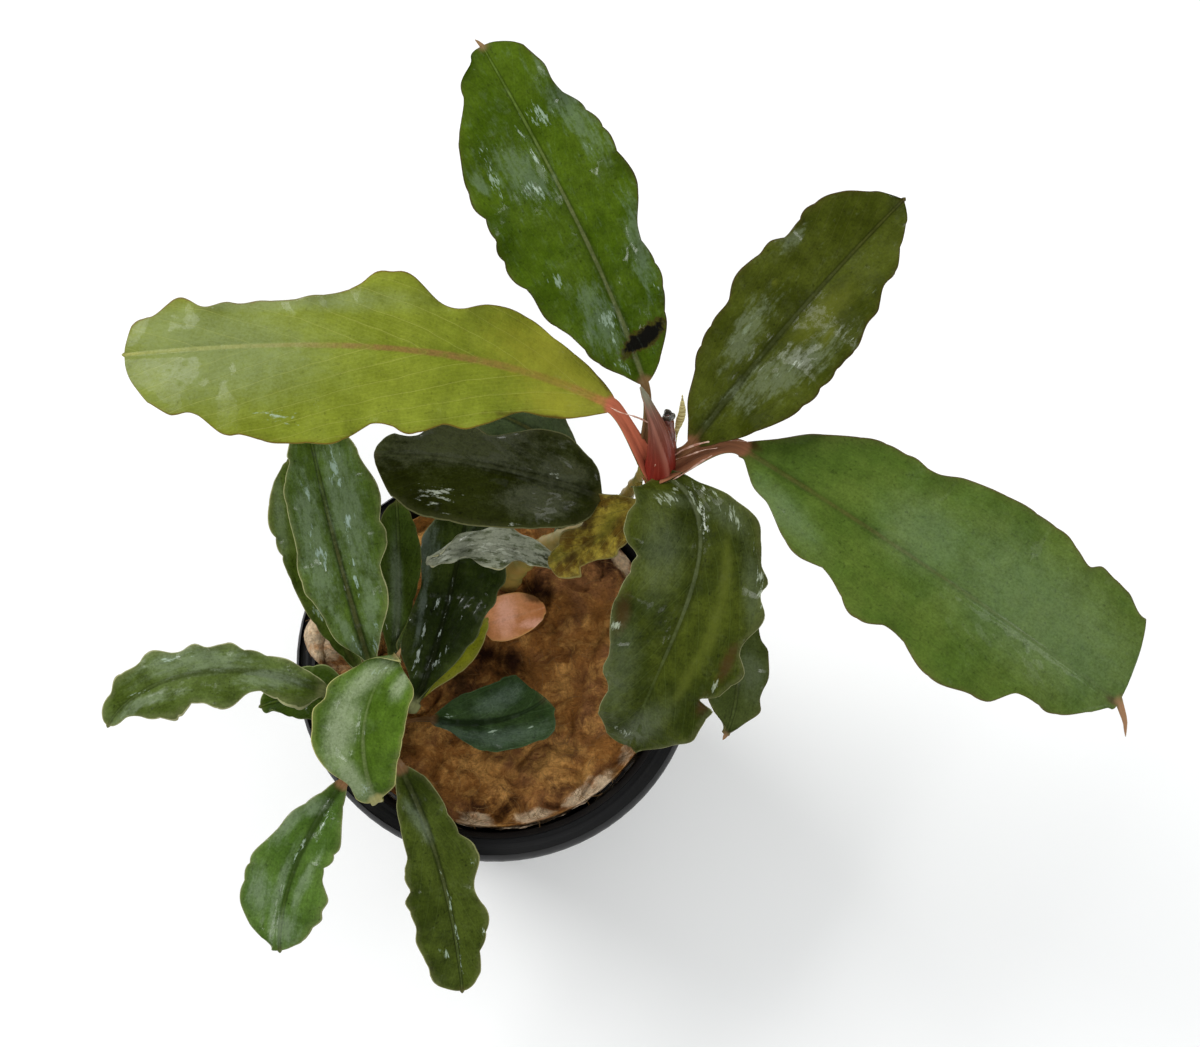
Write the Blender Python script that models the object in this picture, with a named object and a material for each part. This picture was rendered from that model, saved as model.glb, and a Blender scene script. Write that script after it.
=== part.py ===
"""A bucephalandra, an aquarium plant, growing in rock wool in a 52 mm net pot.

Two rosettes grow from creeping stems: a tall one that leans out over the back right of the pot,
and a low one at the front left. Every leaf, both stems, the wool and the pot are separate pieces.
The origin is the middle of the pot's underside, +Z is up, and -Y is the front.
"""
import math

import bmesh
import bpy
import numpy as np

MM = 0.001
MERGE = 0.00001       # metres within which a turned shape's points on its axis become one

# The pot, in millimetres
RIM_RADIUS = 26.0
POT_HEIGHT = 48.0
RIM_WIDTH = 3.0
RIM_THICK = 1.2
LIP_DROP = 3.2
LIP_THICK = 1.0
WALL = 1.1
BASE_RADIUS = 18.0
FLOOR = 1.4
SLOT_COLUMNS = 16
SLOT_WIDTH = 3.2
SLOT_ROWS = ((6.0, 21.0), (25.0, 40.0))
FLOOR_SLOTS = 8
FLOOR_SLOT_RADII = (8.0, 14.5)
FLOOR_SLOT_WIDTH = 2.6
TURN_STEPS = 40

# The rock wool, in millimetres
WOOL_GAP = 0.4
WOOL_LEVEL = 46.4
WOOL_STEPS = 32
WOOL_SPILL_TURN = 173.0     # degrees round the pot where the wool spills over the rim
WOOL_SPILL_SPREAD = 20.0
WOOL_PIT = (2.2, -0.7)
STEM_CLEARANCE = 0.45

# Stems: the points their middles pass through, and their radii along them
TALL_STEM = ((0.6, 10.2, 38), (1.4, 10.8, 46), (4.6, 12.2, 54), (12.2, 14.9, 64), (16.8, 15.8, 71),
             (19.4, 16.6, 77), (19.9, 16.9, 79.4))
TALL_STEM_RADII = (1.5, 1.7, 1.5, 1.35, 1.35)
LOW_STEM = ((-11.8, -1.0, 38), (-12.4, -3.0, 46), (-13.6, -6.2, 49.6), (-14.6, -11.0, 50.2), (-15.0, -15.4, 50.4))
LOW_STEM_RADII = (1.3, 1.6, 1.5, 1.0)
YOUNG_LEAF = ((20.0, 17.0, 80.2), (19.7, 17.3, 84), (19.1, 18.1, 88.5), (18.4, 19.5, 93), (18.0, 20.8, 96.5))
YOUNG_LEAF_RADII = (1.0, 1.35, 1.3, 0.9, 0.5, 0.2)
DRY_SHEATH = ((22.4, 19.4, 83.2), (22.7, 19.8, 86), (23.0, 20.4, 89), (22.9, 21.2, 92))
DRY_SHEATH_RADII = (0.3, 0.45, 0.65, 0.12)

# Leaves. base is where the blade starts and root where the petiole leaves the stem, in millimetres.
# heading and pitch aim the midrib, sweep and droop bend it along its length, in degrees.
# left and right are half-widths in millimetres at even steps along the blade.
LEAVES = {
    "tall_leaf_back": dict(
        base=(18.7, 24.5, 87), root=(19.8, 19.5, 79.4), heading=112, sweep=8, turn=3, length=43.5,
        pitch=38, droop=30, left=(2, 5, 7, 8.8, 9.6, 10, 10, 9, 7.2, 4.2),
        right=(2.5, 4.8, 6, 6.2, 6.8, 7.6, 7.2, 6.4, 5.4, 3.8),
        fold=12, wave=0.7, waves=5, phase=0.4, petiole=(1.1, 0.8)),
    "tall_leaf_back_right": dict(
        base=(24.3, 18.3, 83), root=(22.0, 17.6, 80.4), heading=48, sweep=-2, length=38.2,
        pitch=35, droop=35, left=(1.7, 4, 5.6, 6.6, 7.3, 7.9, 7.4, 6.6, 5.6, 3),
        right=(2.4, 5.2, 7.2, 8, 8.5, 8.1, 7.4, 6.4, 5, 2.5),
        fold=14, wave=0.6, waves=5, phase=2.0, petiole=(1.2, 0.8)),
    "tall_leaf_right": dict(
        base=(30.3, 17.7, 83), root=(22.3, 15.6, 77.4), heading=-36, sweep=6, turn=0.6, length=53.8,
        pitch=12, droop=35, left=(2.6, 6, 8.4, 9.4, 10.4, 11.4, 11.6, 10.8, 11, 8.6),
        right=(2.8, 6, 8.4, 9.4, 9.6, 10.2, 10.8, 8.6, 6.6, 4),
        fold=4, wave=0.8, waves=5, phase=1.0, petiole=(1.5, 0.8)),
    "tall_leaf_left": dict(
        base=(14.8, 22.4, 85), root=(17.5, 17.0, 79.8), heading=158, sweep=25, turn=2.5, length=57.8,
        pitch=22, droop=30, left=(2.5, 4.8, 7.4, 9, 10.2, 11.8, 12.2, 11.8, 9.8, 6.6),
        right=(2.4, 5.4, 7, 6.4, 8.8, 6.8, 5, 4.4, 5.4, 4),
        fold=4, wave=0.7, waves=6, phase=2.6, petiole=(1.6, 0.8)),
    "tall_leaf_front": dict(
        base=(20.4, 13.7, 81), root=(19.2, 14.6, 79.9), heading=-16, sweep=-104, turn=3.5, length=40.6,
        pitch=25, droop=85, bend=1.3, left=(2, 5.6, 7, 7.2, 6.8, 6.2, 5.6, 5.2, 4.4, 2.4),
        right=(4, 6.6, 8, 9.2, 9.8, 9.8, 9.2, 8.6, 8, 5),
        fold=8, wave=0.7, waves=5, phase=0.2, petiole=(1.2, 0.7)),
    "tall_leaf_behind_front": dict(
        base=(25.7, 5.4, 68), root=(17.4, 13.2, 69.5), heading=-48, sweep=-67, length=21.2,
        pitch=5, droop=50, left=(1.6, 4.4, 4.6, 4.2, 3.5, 1.9), right=(1.9, 4.2, 4.8, 4.6, 3.9, 2),
        fold=6, petiole=(0.8, 0.6)),
    "tall_leaf_dark": dict(
        base=(13.6, 15.0, 71.4), root=(14.1, 15.1, 70.4), heading=166, sweep=17, turn=0.5, length=28.4,
        pitch=24, droop=30, left=(3.6, 6.2, 7, 7.2, 6.4, 4), right=(4, 5.8, 5.4, 4.8, 4.6, 3),
        fold=3, wave=0.2, waves=3, petiole=(0.8, 0.5)),
    "tall_leaf_behind_dark": dict(
        base=(12.0, 22.4, 63), root=(8.9, 16.2, 58), heading=137, sweep=36, length=18.4,
        pitch=26, droop=30, left=(1.6, 2.6, 3.2, 3.4, 3, 1.8), right=(2, 3.6, 4.4, 4.4, 3.8, 2),
        fold=4, petiole=(0.8, 0.6)),
    "tall_leaf_low": dict(
        base=(10.0, 9.2, 63), root=(12.0, 12.4, 61.4), heading=153, sweep=52, length=18,
        pitch=16, droop=32, left=(1.4, 2.4, 3, 2.8, 2.4, 1.5), right=(1.2, 2.4, 3, 3.2, 2.6, 1.6),
        fold=14, wave=0.5, waves=3, petiole=(0.8, 0.6)),
    "tall_leaf_decaying": dict(
        base=(17.4, 12.5, 72.5), root=(17.7, 13.6, 74.2), heading=-141, sweep=-10, length=16.2,
        pitch=-25, droop=20, left=(1.2, 3.2, 3.6, 3.3, 2.8, 1.6), right=(1.1, 1.9, 2.4, 2.8, 2.6, 1.6),
        fold=4, waves=3, petiole=(0.8, 0.6)),
    "low_leaf_back": dict(
        base=(-15.2, -3.6, 59.5), root=(-14.0, -4.2, 52.4), heading=107, sweep=-5, length=32.4,
        pitch=40, droop=28, left=(1.7, 3.7, 4.8, 5.2, 5.6, 5.2, 5.1, 4.7, 3.7, 2.3),
        right=(1.4, 2.8, 4.2, 4.6, 5.7, 6.2, 6.2, 5.8, 5, 3.4),
        fold=12, wave=0.5, waves=5, phase=0.8, petiole=(0.8, 0.6)),
    "low_leaf_back_left": dict(
        base=(-16.9, -3.6, 55.8), root=(-15.5, -5.6, 51.6), heading=123, sweep=-20, turn=2.2, length=28.5,
        pitch=26, droop=24, left=(1.6, 2.9, 3.7, 4.2, 4, 2.4), right=(1.3, 2.8, 3.4, 3.8, 3.8, 2.2),
        waves=5, phase=2.2, petiole=(0.8, 0.6)),
    "low_leaf_back_narrow": dict(
        base=(-12.4, -2.6, 57.4), root=(-12.5, -3.2, 52), heading=83, sweep=12, length=20.3,
        pitch=28, droop=25, left=(1, 2.2, 3, 3.1, 2.9, 1.9), right=(1.1, 2.5, 3.2, 3.5, 3.2, 1.9),
        wave=0.3, waves=3, petiole=(0.7, 0.5)),
    "low_leaf_back_right": dict(
        base=(-9.9, -7.3, 54), root=(-11.7, -6.6, 51), heading=66, sweep=14, turn=2, length=26.4,
        pitch=16, droop=20, left=(2, 3.8, 4.9, 5.6, 5.2, 3.4), right=(1.9, 3.3, 4.6, 5.8, 6, 3.8),
        fold=12, petiole=(0.8, 0.6)),
    "low_leaf_left": dict(
        base=(-20.8, -6.8, 60), root=(-15.9, -8.4, 52.4), heading=160, sweep=88, turn=0.5, length=30,
        pitch=22, droop=50, left=(1.9, 2.9, 4.4, 3.8, 3.8, 1.8), right=(1.7, 2.6, 3.1, 3.3, 3.5, 2.2),
        wave=0.6, waves=6, phase=1.2, petiole=(0.8, 0.6)),
    "low_leaf_left_under": dict(
        base=(-18.6, -6.6, 53), root=(-16.4, -7.4, 50.6), heading=168, sweep=31, length=11.4,
        pitch=8, droop=25, left=(2, 3.6, 4, 3.8, 3.2, 1.9), right=(2.4, 3.9, 3.9, 3.6, 3, 1.6),
        fold=4, wave=0.3, waves=2, petiole=(0.7, 0.5)),
    "low_leaf_top": dict(
        base=(-14.4, -19.8, 56), root=(-15.0, -17.2, 51.8), heading=116, sweep=-70, turn=0.9, length=21,
        pitch=60, droop=66, left=(2.2, 4.4, 6, 6.2, 5.2, 3.6), right=(2.2, 4, 5, 5.8, 5.8, 4),
        fold=4, cup=0.05, wave=0.5, waves=3, petiole=(0.8, 0.6)),
    "low_leaf_front_left": dict(
        base=(-18.8, -17.4, 54), root=(-16.6, -15.4, 51.4), heading=-125, sweep=40, turn=0.6, length=22.9,
        pitch=12, droop=40, left=(1.6, 3.1, 4.3, 4.6, 4.2, 2.5), right=(1.2, 2.8, 4.4, 5.7, 5.6, 3.4),
        phase=0.6, petiole=(0.7, 0.5)),
    "low_leaf_front_right": dict(
        base=(-11.6, -15.5, 54), root=(-13.2, -14.0, 51.6), heading=-62, sweep=-24, length=29.5,
        pitch=12, droop=40, left=(2.2, 3.6, 4.5, 3.8, 4.2, 2.6), right=(1.8, 3.7, 4.1, 5, 4.8, 3.6),
        wave=0.6, waves=6, phase=1.8, petiole=(0.7, 0.5)),
    "low_leaf_right": dict(
        base=(-8.1, -8.8, 51.5), root=(-11.6, -9.4, 50.2), heading=-12, sweep=60, turn=0.6, length=15.7,
        pitch=4, droop=12, left=(1.4, 3.2, 4, 4.1, 3.9, 2.6), right=(1.2, 2.6, 3.9, 4.4, 3.5, 1.7),
        wave=0.2, waves=2, petiole=(0.6, 0.5)),
    "low_leaf_yellow": dict(
        base=(-9.2, -4.8, 49.4), root=(-10.8, -4.9, 48.6), heading=47, sweep=5, length=15,
        pitch=7, droop=10, left=(0.8, 1.6, 2.2, 2.4, 2, 1.2), right=(0.8, 1.4, 1.9, 2.2, 1.8, 1),
        fold=4, wave=0.2, waves=2, petiole=(0.6, 0.5)),
    "faded_leaf": dict(
        base=(-0.8, 4.4, 48.6), root=(-3.2, 3.6, 48.3), heading=16, sweep=2, length=8.4,
        pitch=4, droop=8, left=(1.8, 3, 3.3, 3.1, 2.6, 1.5), right=(2, 3, 3.1, 2.8, 2.3, 1.3),
        fold=-4, wave=0, petiole=(0.6, 0.5)),
}
USUAL = dict(turn=1, bend=1, fold=8, cup=0, wave=0.4, waves=4, phase=0, petiole=(0.9, 0.7))
BLADE_THICK = 0.45
MARGIN_THICK = 0.3
RIDGE_HEIGHT = 0.55     # how far the midrib stands out below the blade where it starts
RIDGE_HALF = 1.2
TIP_HALF = 0.3
LARGE_LEAF = 30.3       # a longer blade gets more rings
SMALL = dict(rings=8, across=(-1, -0.5, 0, 0.5, 1))
LARGE = dict(rings=13, across=(-1, -0.6, -0.25, 0, 0.25, 0.6, 1))
PETIOLE_RINGS = 3
PETIOLE_LIFT = 0.5      # how much a petiole rises as it leaves the stem

COLOURS = {
    "pot": (0.012, 0.012, 0.013),
    "rock_wool": (0.30, 0.16, 0.06),
    "tall_stem": (0.42, 0.26, 0.08),
    "low_stem": (0.30, 0.20, 0.06),
    "young_leaf": (0.30, 0.07, 0.06),
    "dry_sheath": (0.62, 0.52, 0.24),
    "tall_leaf_left": (0.24, 0.27, 0.04),
    "tall_leaf_dark": (0.03, 0.045, 0.012),
    "tall_leaf_decaying": (0.30, 0.24, 0.03),
    "low_leaf_yellow": (0.36, 0.40, 0.03),
    "faded_leaf": (0.62, 0.22, 0.10),
}
LEAF_GREEN = (0.05, 0.11, 0.02)


def direction(heading, pitch):
    """The unit vector that points that way: heading turns from +X towards +Y, pitch lifts it."""
    turn, lift = math.radians(heading), math.radians(pitch)
    return np.array([math.cos(lift)*math.cos(turn), math.cos(lift)*math.sin(turn), math.sin(lift)])


def smooth_path(points, count):
    """Points at even steps on a Catmull-Rom curve through the given ones."""
    given = np.array(points, float)
    given = np.vstack([2*given[0]-given[1], given, 2*given[-1]-given[-2]])
    path = []
    for place in np.linspace(0, len(given)-3, count):
        i = min(int(place), len(given)-4)
        f = place-i
        a, b, c, d = given[i:i+4]
        path.append(0.5*(2*b+(c-a)*f+(2*a-5*b+4*c-d)*f*f+(3*b-3*c+d-a)*f**3))
    return np.array(path)


def leaf_heading(leaf, t):
    return leaf["heading"]+leaf["sweep"]*(1-(1-t)**leaf["turn"])


def leaf_pitch(leaf, t):
    return leaf["pitch"]-leaf["droop"]*(1-(1-t)**leaf["bend"])


def midrib(leaf, stations, steps=120):
    """The midrib at the stations, 0 to 1: each its point and the vectors along, to the right and up."""
    fine = np.linspace(0, 1, steps+1)
    along = np.array([direction(leaf_heading(leaf, t), leaf_pitch(leaf, t)) for t in fine])
    strides = (along[1:]+along[:-1])/2*leaf["length"]/steps
    path = np.vstack([np.zeros(3), np.cumsum(strides, axis=0)])+leaf["base"]
    frames = []
    for t in stations:
        point = np.array([np.interp(t, fine, path[:, k]) for k in range(3)])
        ahead = direction(leaf_heading(leaf, t), leaf_pitch(leaf, t))
        turn = math.radians(leaf_heading(leaf, t))
        right = np.array([math.sin(turn), -math.cos(turn), 0.0])
        frames.append((point, ahead, right, np.cross(right, ahead)))
    return frames


def half_width(values, t, start):
    """Half the blade's width at t: a smooth line through the values, rounded in at both ends."""
    last = len(values)-1
    x = t*len(values)-0.5
    if x < 0:
        return start+(values[0]-start)*(1+2*x)**0.8
    if x > last:
        return max(TIP_HALF, values[-1]*math.sqrt(max(0.0, 1-2*(x-last))))
    i = min(int(x), last-1)
    f = x-i
    a = values[i-1] if i > 0 else 2*values[0]-values[1]
    b, c = values[i], values[i+1]
    d = values[i+2] if i+2 <= last else values[-1]*0.7
    return 0.5*(2*b+(c-a)*f+(2*a-5*b+4*c-d)*f*f+(3*b-3*c+d-a)*f**3)


def margin_wave(leaf, t, side):
    """How far the margin is up or down at t, from -1.4 to 1.4, in another rhythm on each side."""
    turn = 2*math.pi*leaf["waves"]*t+leaf["phase"]+(0 if side > 0 else 2.1)
    return math.sin(turn)+0.4*math.sin(1.7*turn+1)


def upper_face(leaf, t, across):
    """The blade's upper face across the midrib at t: its offsets to the right and up."""
    fold = math.radians(leaf["fold"])
    grown = min(1.0, (4*t*(1-t))**0.6)
    offsets = []
    for v in across:
        half = half_width(leaf["right" if v > 0 else "left"], t, leaf["petiole"][0])
        lift = half*abs(v)*math.sin(fold)+leaf["cup"]*half*v*v
        lift += leaf["wave"]*grown*abs(v)**3*margin_wave(leaf, t, v)
        offsets.append((half*v*math.cos(fold), lift))
    return offsets


def petiole_rings(leaf, across):
    """Flattened round rings along a curve from the stem to the start of the blade."""
    (base, ahead, base_right, _), = midrib(leaf, [0.0])
    wide, deep = leaf["petiole"]
    root = np.array(leaf["root"], float)
    reach = np.linalg.norm(base-root)
    leave = (base-root)/reach+np.array([0, 0, PETIOLE_LIFT])
    leave /= np.linalg.norm(leave)
    handles = (root, root+leave*reach*0.35, base-ahead*reach*0.35, base)
    sides = len(across)-1
    rings = []
    for k in range(PETIOLE_RINGS):
        u = k/PETIOLE_RINGS
        weights = ((1-u)**3, 3*u*(1-u)**2, 3*u*u*(1-u), u**3)
        point = sum(w*h for w, h in zip(weights, handles))
        slopes = (3*(1-u)**2, 6*u*(1-u), 3*u*u)
        along = sum(w*(b-a) for w, a, b in zip(slopes, handles, handles[1:]))
        along /= np.linalg.norm(along)
        right = base_right-along*(base_right @ along)
        right /= np.linalg.norm(right)
        up = np.cross(right, along)
        angles = [math.pi-math.pi*j/sides for j in range(2*sides)]
        rings.append([point+right*wide*math.cos(a)+up*deep*math.sin(a) for a in angles])
    return rings


def leaf_rings(leaf):
    """Rings from the petiole's root to the leaf's tip, each over the upper face and back below."""
    leaf = {**USUAL, **leaf}
    size = LARGE if leaf["length"] > LARGE_LEAF else SMALL
    across, count = size["across"], size["rings"]
    back = across[-2:0:-1]
    rings = petiole_rings(leaf, across)
    for k in range(count+1):
        t = 0.6*(0.5-0.5*math.cos(math.pi*k/count))+0.4*k/count
        (point, _, right, up), = midrib(leaf, [t])
        ring = [point+right*y+up*z for y, z in upper_face(leaf, t, across)]
        for v, (y, z) in zip(back, upper_face(leaf, t, back)):
            ridge = RIDGE_HEIGHT*(1-t)**0.5*max(0.0, 1-(y/RIDGE_HALF)**2)
            thick = BLADE_THICK-(BLADE_THICK-MARGIN_THICK)*abs(v)+ridge
            ring.append(point+right*y+up*(z-thick))
        rings.append(ring)
    return rings


def tube_rings(points, radii, count, sides):
    """Round rings along the smooth curve through the points, with the radii spread along it."""
    path = smooth_path(points, count)
    spread = np.interp(np.linspace(0, 1, count), np.linspace(0, 1, len(radii)), radii)
    right = np.array([1.0, 0, 0])
    rings = []
    for i, point in enumerate(path):
        along = path[min(i+1, count-1)]-path[max(i-1, 0)]
        along /= np.linalg.norm(along)
        right = right-along*(right @ along)
        right /= np.linalg.norm(right)
        up = np.cross(right, along)
        angles = [math.pi-2*math.pi*j/sides for j in range(sides)]
        rings.append([point+spread[i]*(right*math.cos(a)+up*math.sin(a)) for a in angles])
    return rings


def wool_top(x, y):
    """How high the wool's worn top stands, in millimetres."""
    height = WOOL_LEVEL+0.7*math.sin(0.33*x+1.1)*math.cos(0.29*y-0.4)+0.4*math.sin(0.71*x-0.6*y+2)
    pit = ((x-WOOL_PIT[0])**2+(y-WOOL_PIT[1])**2)/16
    return height-2.2*math.exp(-pit)


def wool_rings():
    """Rings from the middle of the wool's underside, out, up beside the pot's wall and in over the top."""
    wall_low = BASE_RADIUS-WALL-WOOL_GAP-0.4
    wall_high = RIM_RADIUS-RIM_WIDTH-WALL-WOOL_GAP+0.4
    floor = FLOOR+WOOL_GAP
    middle = (floor+WOOL_LEVEL-1.4)/2
    rings = []
    flat = [(wall_low*0.5, floor), (wall_low-0.8, floor), (wall_low+0.1, floor+1.2),
            ((wall_low+wall_high)/2, middle)]
    turns = [2*math.pi*j/WOOL_STEPS for j in range(WOOL_STEPS)]
    for radius, height in flat:
        rings.append([(radius*math.cos(a), radius*math.sin(a), height) for a in turns])
    top = [[], [], [], [], []]
    for a in turns:
        away = (math.degrees(a)-WOOL_SPILL_TURN+180) % 360-180
        spill = math.exp(-(away/WOOL_SPILL_SPREAD)**2)
        rise = min(1.0, spill/0.45)
        out = max(0.0, (spill-0.6)/0.4)
        shape = ((wall_high, WOOL_LEVEL-1.4+3.5*rise, 0), (20.4+4.6*out, WOOL_LEVEL+2.4*rise+0.3*out, 0),
                 (16.5+1.5*out, 3.6*rise, 1), (11.0, 1.2*rise, 1), (5.5, 0, 1))
        for ring, (radius, height, lumpy) in zip(top, shape):
            x, y = radius*math.cos(a), radius*math.sin(a)
            ring.append((x, y, height+(wool_top(x, y) if lumpy else 0)))
    return rings+top


def clear_scene():
    for old in list(bpy.data.objects):
        bpy.data.objects.remove(old, do_unlink=True)


def material(name, colour, roughness=0.45):
    finish = bpy.data.materials.new(name)
    finish.use_nodes = True
    shader = finish.node_tree.nodes["Principled BSDF"]
    shader.inputs["Base Color"].default_value = (*colour, 1)
    shader.inputs["Roughness"].default_value = roughness
    shader.inputs["Metallic"].default_value = 0
    return finish


def solid_from_rings(name, rings, origin=(0, 0, 0)):
    """One closed object through rings of equal count, its two ends closed by fans.

    The second half of each ring lies under the first, and its faces are split along the same diagonals,
    so that the two sides of a thin, wavy blade stay apart.
    """
    count = len(rings[0])
    work = bmesh.new()
    rows = [[work.verts.new((np.array(p)-origin)*MM) for p in ring] for ring in rings]
    for low, high in zip(rows, rows[1:]):
        for j in range(count):
            k = (j+1) % count
            if j < count//2:
                work.faces.new((low[j], low[k], high[k]))
                work.faces.new((low[j], high[k], high[j]))
            else:
                work.faces.new((low[j], low[k], high[j]))
                work.faces.new((low[k], high[k], high[j]))
    for row, ring, first in ((rows[0], rings[0], True), (rows[-1], rings[-1], False)):
        middle = work.verts.new((np.mean(ring, axis=0)-origin)*MM)
        for j in range(count):
            k = (j+1) % count
            work.faces.new((row[k], row[j], middle) if first else (row[j], row[k], middle))
    bmesh.ops.recalc_face_normals(work, faces=work.faces)
    mesh = bpy.data.meshes.new(name)
    work.to_mesh(mesh)
    work.free()
    mesh.shade_smooth()
    piece = bpy.data.objects.new(name, mesh)
    piece.location = np.array(origin)*MM
    bpy.context.scene.collection.objects.link(piece)
    return piece


def dress(piece, plant, roughness=0.45):
    piece.data.materials.append(material(piece.name, COLOURS.get(piece.name, LEAF_GREEN), roughness))
    piece.parent = plant


def cut(piece, cutter):
    """Takes the cutter's shape out of the piece."""
    cutter.hide_render = True
    cutter.display_type = "WIRE"
    boolean = piece.modifiers.new(cutter.name, "BOOLEAN")
    boolean.operation = "DIFFERENCE"
    boolean.solver = "EXACT"
    boolean.object = cutter


def wall_radius(height):
    """The outer radius of the pot's tapered wall at that height."""
    top = RIM_RADIUS-RIM_WIDTH+WALL-0.4
    return BASE_RADIUS+(top-BASE_RADIUS)*height/(POT_HEIGHT-RIM_THICK)


def pot_profile():
    """The pot's section at +X, from the rim down its outer side, under the floor and up inside."""
    under_rim = POT_HEIGHT-RIM_THICK
    bore = RIM_RADIUS-RIM_WIDTH
    return [
        (bore, POT_HEIGHT), (RIM_RADIUS-0.4, POT_HEIGHT), (RIM_RADIUS, POT_HEIGHT-0.4),
        (RIM_RADIUS, POT_HEIGHT-LIP_DROP), (RIM_RADIUS-LIP_THICK, POT_HEIGHT-LIP_DROP),
        (RIM_RADIUS-LIP_THICK, under_rim), (wall_radius(under_rim), under_rim),
        (wall_radius(1), 1), (BASE_RADIUS-0.8, 0), (0, 0),
        (0, FLOOR), (wall_radius(FLOOR)-WALL, FLOOR), (bore-0.35, POT_HEIGHT-2.0), (bore, POT_HEIGHT-1.2),
    ]


def make_box(work, middle, size, turn):
    """Adds a box to the mesh in work, turned about the pot's axis."""
    angle = math.radians(turn)
    out = np.array([math.cos(angle), math.sin(angle), 0])
    across = np.array([-math.sin(angle), math.cos(angle), 0])
    for vert in bmesh.ops.create_cube(work, size=1)["verts"]:
        x, y, z = np.array(vert.co)*size
        vert.co = (out*(middle[0]+x)+across*y+np.array([0, 0, middle[2]+z]))*MM


def slot_cutter():
    """Every slot in the wall and the floor, as one cutter of separate boxes."""
    work = bmesh.new()
    for column in range(SLOT_COLUMNS):
        for low, high in SLOT_ROWS:
            middle = (low+high)/2
            radius = wall_radius(middle)-WALL/2
            make_box(work, (radius, 0, middle), (WALL+6, SLOT_WIDTH, high-low), 360*(column+0.3)/SLOT_COLUMNS)
    inner, outer = FLOOR_SLOT_RADII
    for column in range(FLOOR_SLOTS):
        make_box(work, ((inner+outer)/2, 0, FLOOR/2), (outer-inner, FLOOR_SLOT_WIDTH, FLOOR+2),
                 360*(column+0.35)/FLOOR_SLOTS)
    mesh = bpy.data.meshes.new("slots")
    work.to_mesh(mesh)
    work.free()
    cutter = bpy.data.objects.new("slots", mesh)
    bpy.context.scene.collection.objects.link(cutter)
    return cutter


def make_pot(plant):
    points = [(r*MM, 0, z*MM) for r, z in pot_profile()]
    mesh = bpy.data.meshes.new("pot")
    ends = [(i, (i+1) % len(points)) for i in range(len(points))]
    on_axis = [point[0] == 0 for point in points]
    mesh.from_pydata(points, [(a, b) for a, b in ends if not (on_axis[a] and on_axis[b])], [])
    pot = bpy.data.objects.new("pot", mesh)
    bpy.context.scene.collection.objects.link(pot)
    screw = pot.modifiers.new("turn", "SCREW")
    screw.steps = screw.render_steps = TURN_STEPS
    screw.use_merge_vertices = True
    screw.merge_threshold = MERGE
    cutter = slot_cutter()
    cutter.parent = plant
    cut(pot, cutter)
    dress(pot, plant, 0.4)


def make_wool(plant):
    wool = solid_from_rings("rock_wool", wool_rings())
    for name, points, radii in (("tall_stem_hole", TALL_STEM, TALL_STEM_RADII),
                                ("low_stem_hole", LOW_STEM, LOW_STEM_RADII)):
        wider = [radius+STEM_CLEARANCE for radius in radii]
        start = np.array(points[0])-(0, 0, STEM_CLEARANCE)
        hole = solid_from_rings(name, tube_rings((start, *points[1:4]), wider[:3], 7, 10))
        hole.parent = plant
        cut(wool, hole)
    dress(wool, plant, 0.9)


def make_stems(plant):
    tubes = (("tall_stem", TALL_STEM, TALL_STEM_RADII, 14, 10), ("low_stem", LOW_STEM, LOW_STEM_RADII, 10, 10),
             ("young_leaf", YOUNG_LEAF, YOUNG_LEAF_RADII, 8, 8), ("dry_sheath", DRY_SHEATH, DRY_SHEATH_RADII, 6, 6))
    for name, points, radii, count, sides in tubes:
        piece = solid_from_rings(name, tube_rings(points, radii, count, sides), points[0])
        dress(piece, plant)


def make_leaves(plant):
    for name, leaf in LEAVES.items():
        dress(solid_from_rings(name, leaf_rings(leaf), leaf["root"]), plant, 0.35)


def main():
    clear_scene()
    plant = bpy.data.objects.new("bucephalandra", None)
    bpy.context.scene.collection.objects.link(plant)
    make_pot(plant)
    make_wool(plant)
    make_stems(plant)
    make_leaves(plant)


main()
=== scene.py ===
"""The looks of a bucephalandra, an aquarium plant, growing in rock wool in a net pot.

Each operator makes one piece, or one group of like pieces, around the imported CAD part. The origin is
the middle of the pot's underside, +Z is up and -Y is the front. Tables are in millimetres and degrees.
"""
import math

import bpy
import numpy as np
from bpy.props import FloatProperty, FloatVectorProperty, IntProperty, PointerProperty
from bpy.types import Operator, Panel, PropertyGroup
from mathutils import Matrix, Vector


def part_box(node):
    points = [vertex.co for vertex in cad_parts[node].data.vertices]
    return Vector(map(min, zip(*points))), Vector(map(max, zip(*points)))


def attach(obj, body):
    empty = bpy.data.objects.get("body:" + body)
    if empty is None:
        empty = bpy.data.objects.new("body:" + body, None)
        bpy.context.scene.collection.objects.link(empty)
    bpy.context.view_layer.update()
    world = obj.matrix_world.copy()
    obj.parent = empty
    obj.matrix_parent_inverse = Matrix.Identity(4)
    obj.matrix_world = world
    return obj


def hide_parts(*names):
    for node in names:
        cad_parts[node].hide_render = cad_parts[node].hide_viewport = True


bl_info = {
    "name": "Potted bucephalandra",
    "version": (1, 0, 0),
    "blender": (4, 5, 0),
    "location": "3D View > Sidebar > Potted plant",
    "description": "Makes the leaves, stems, rock wool and net pot of a small aquarium plant",
    "category": "Add Mesh",
}

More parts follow.
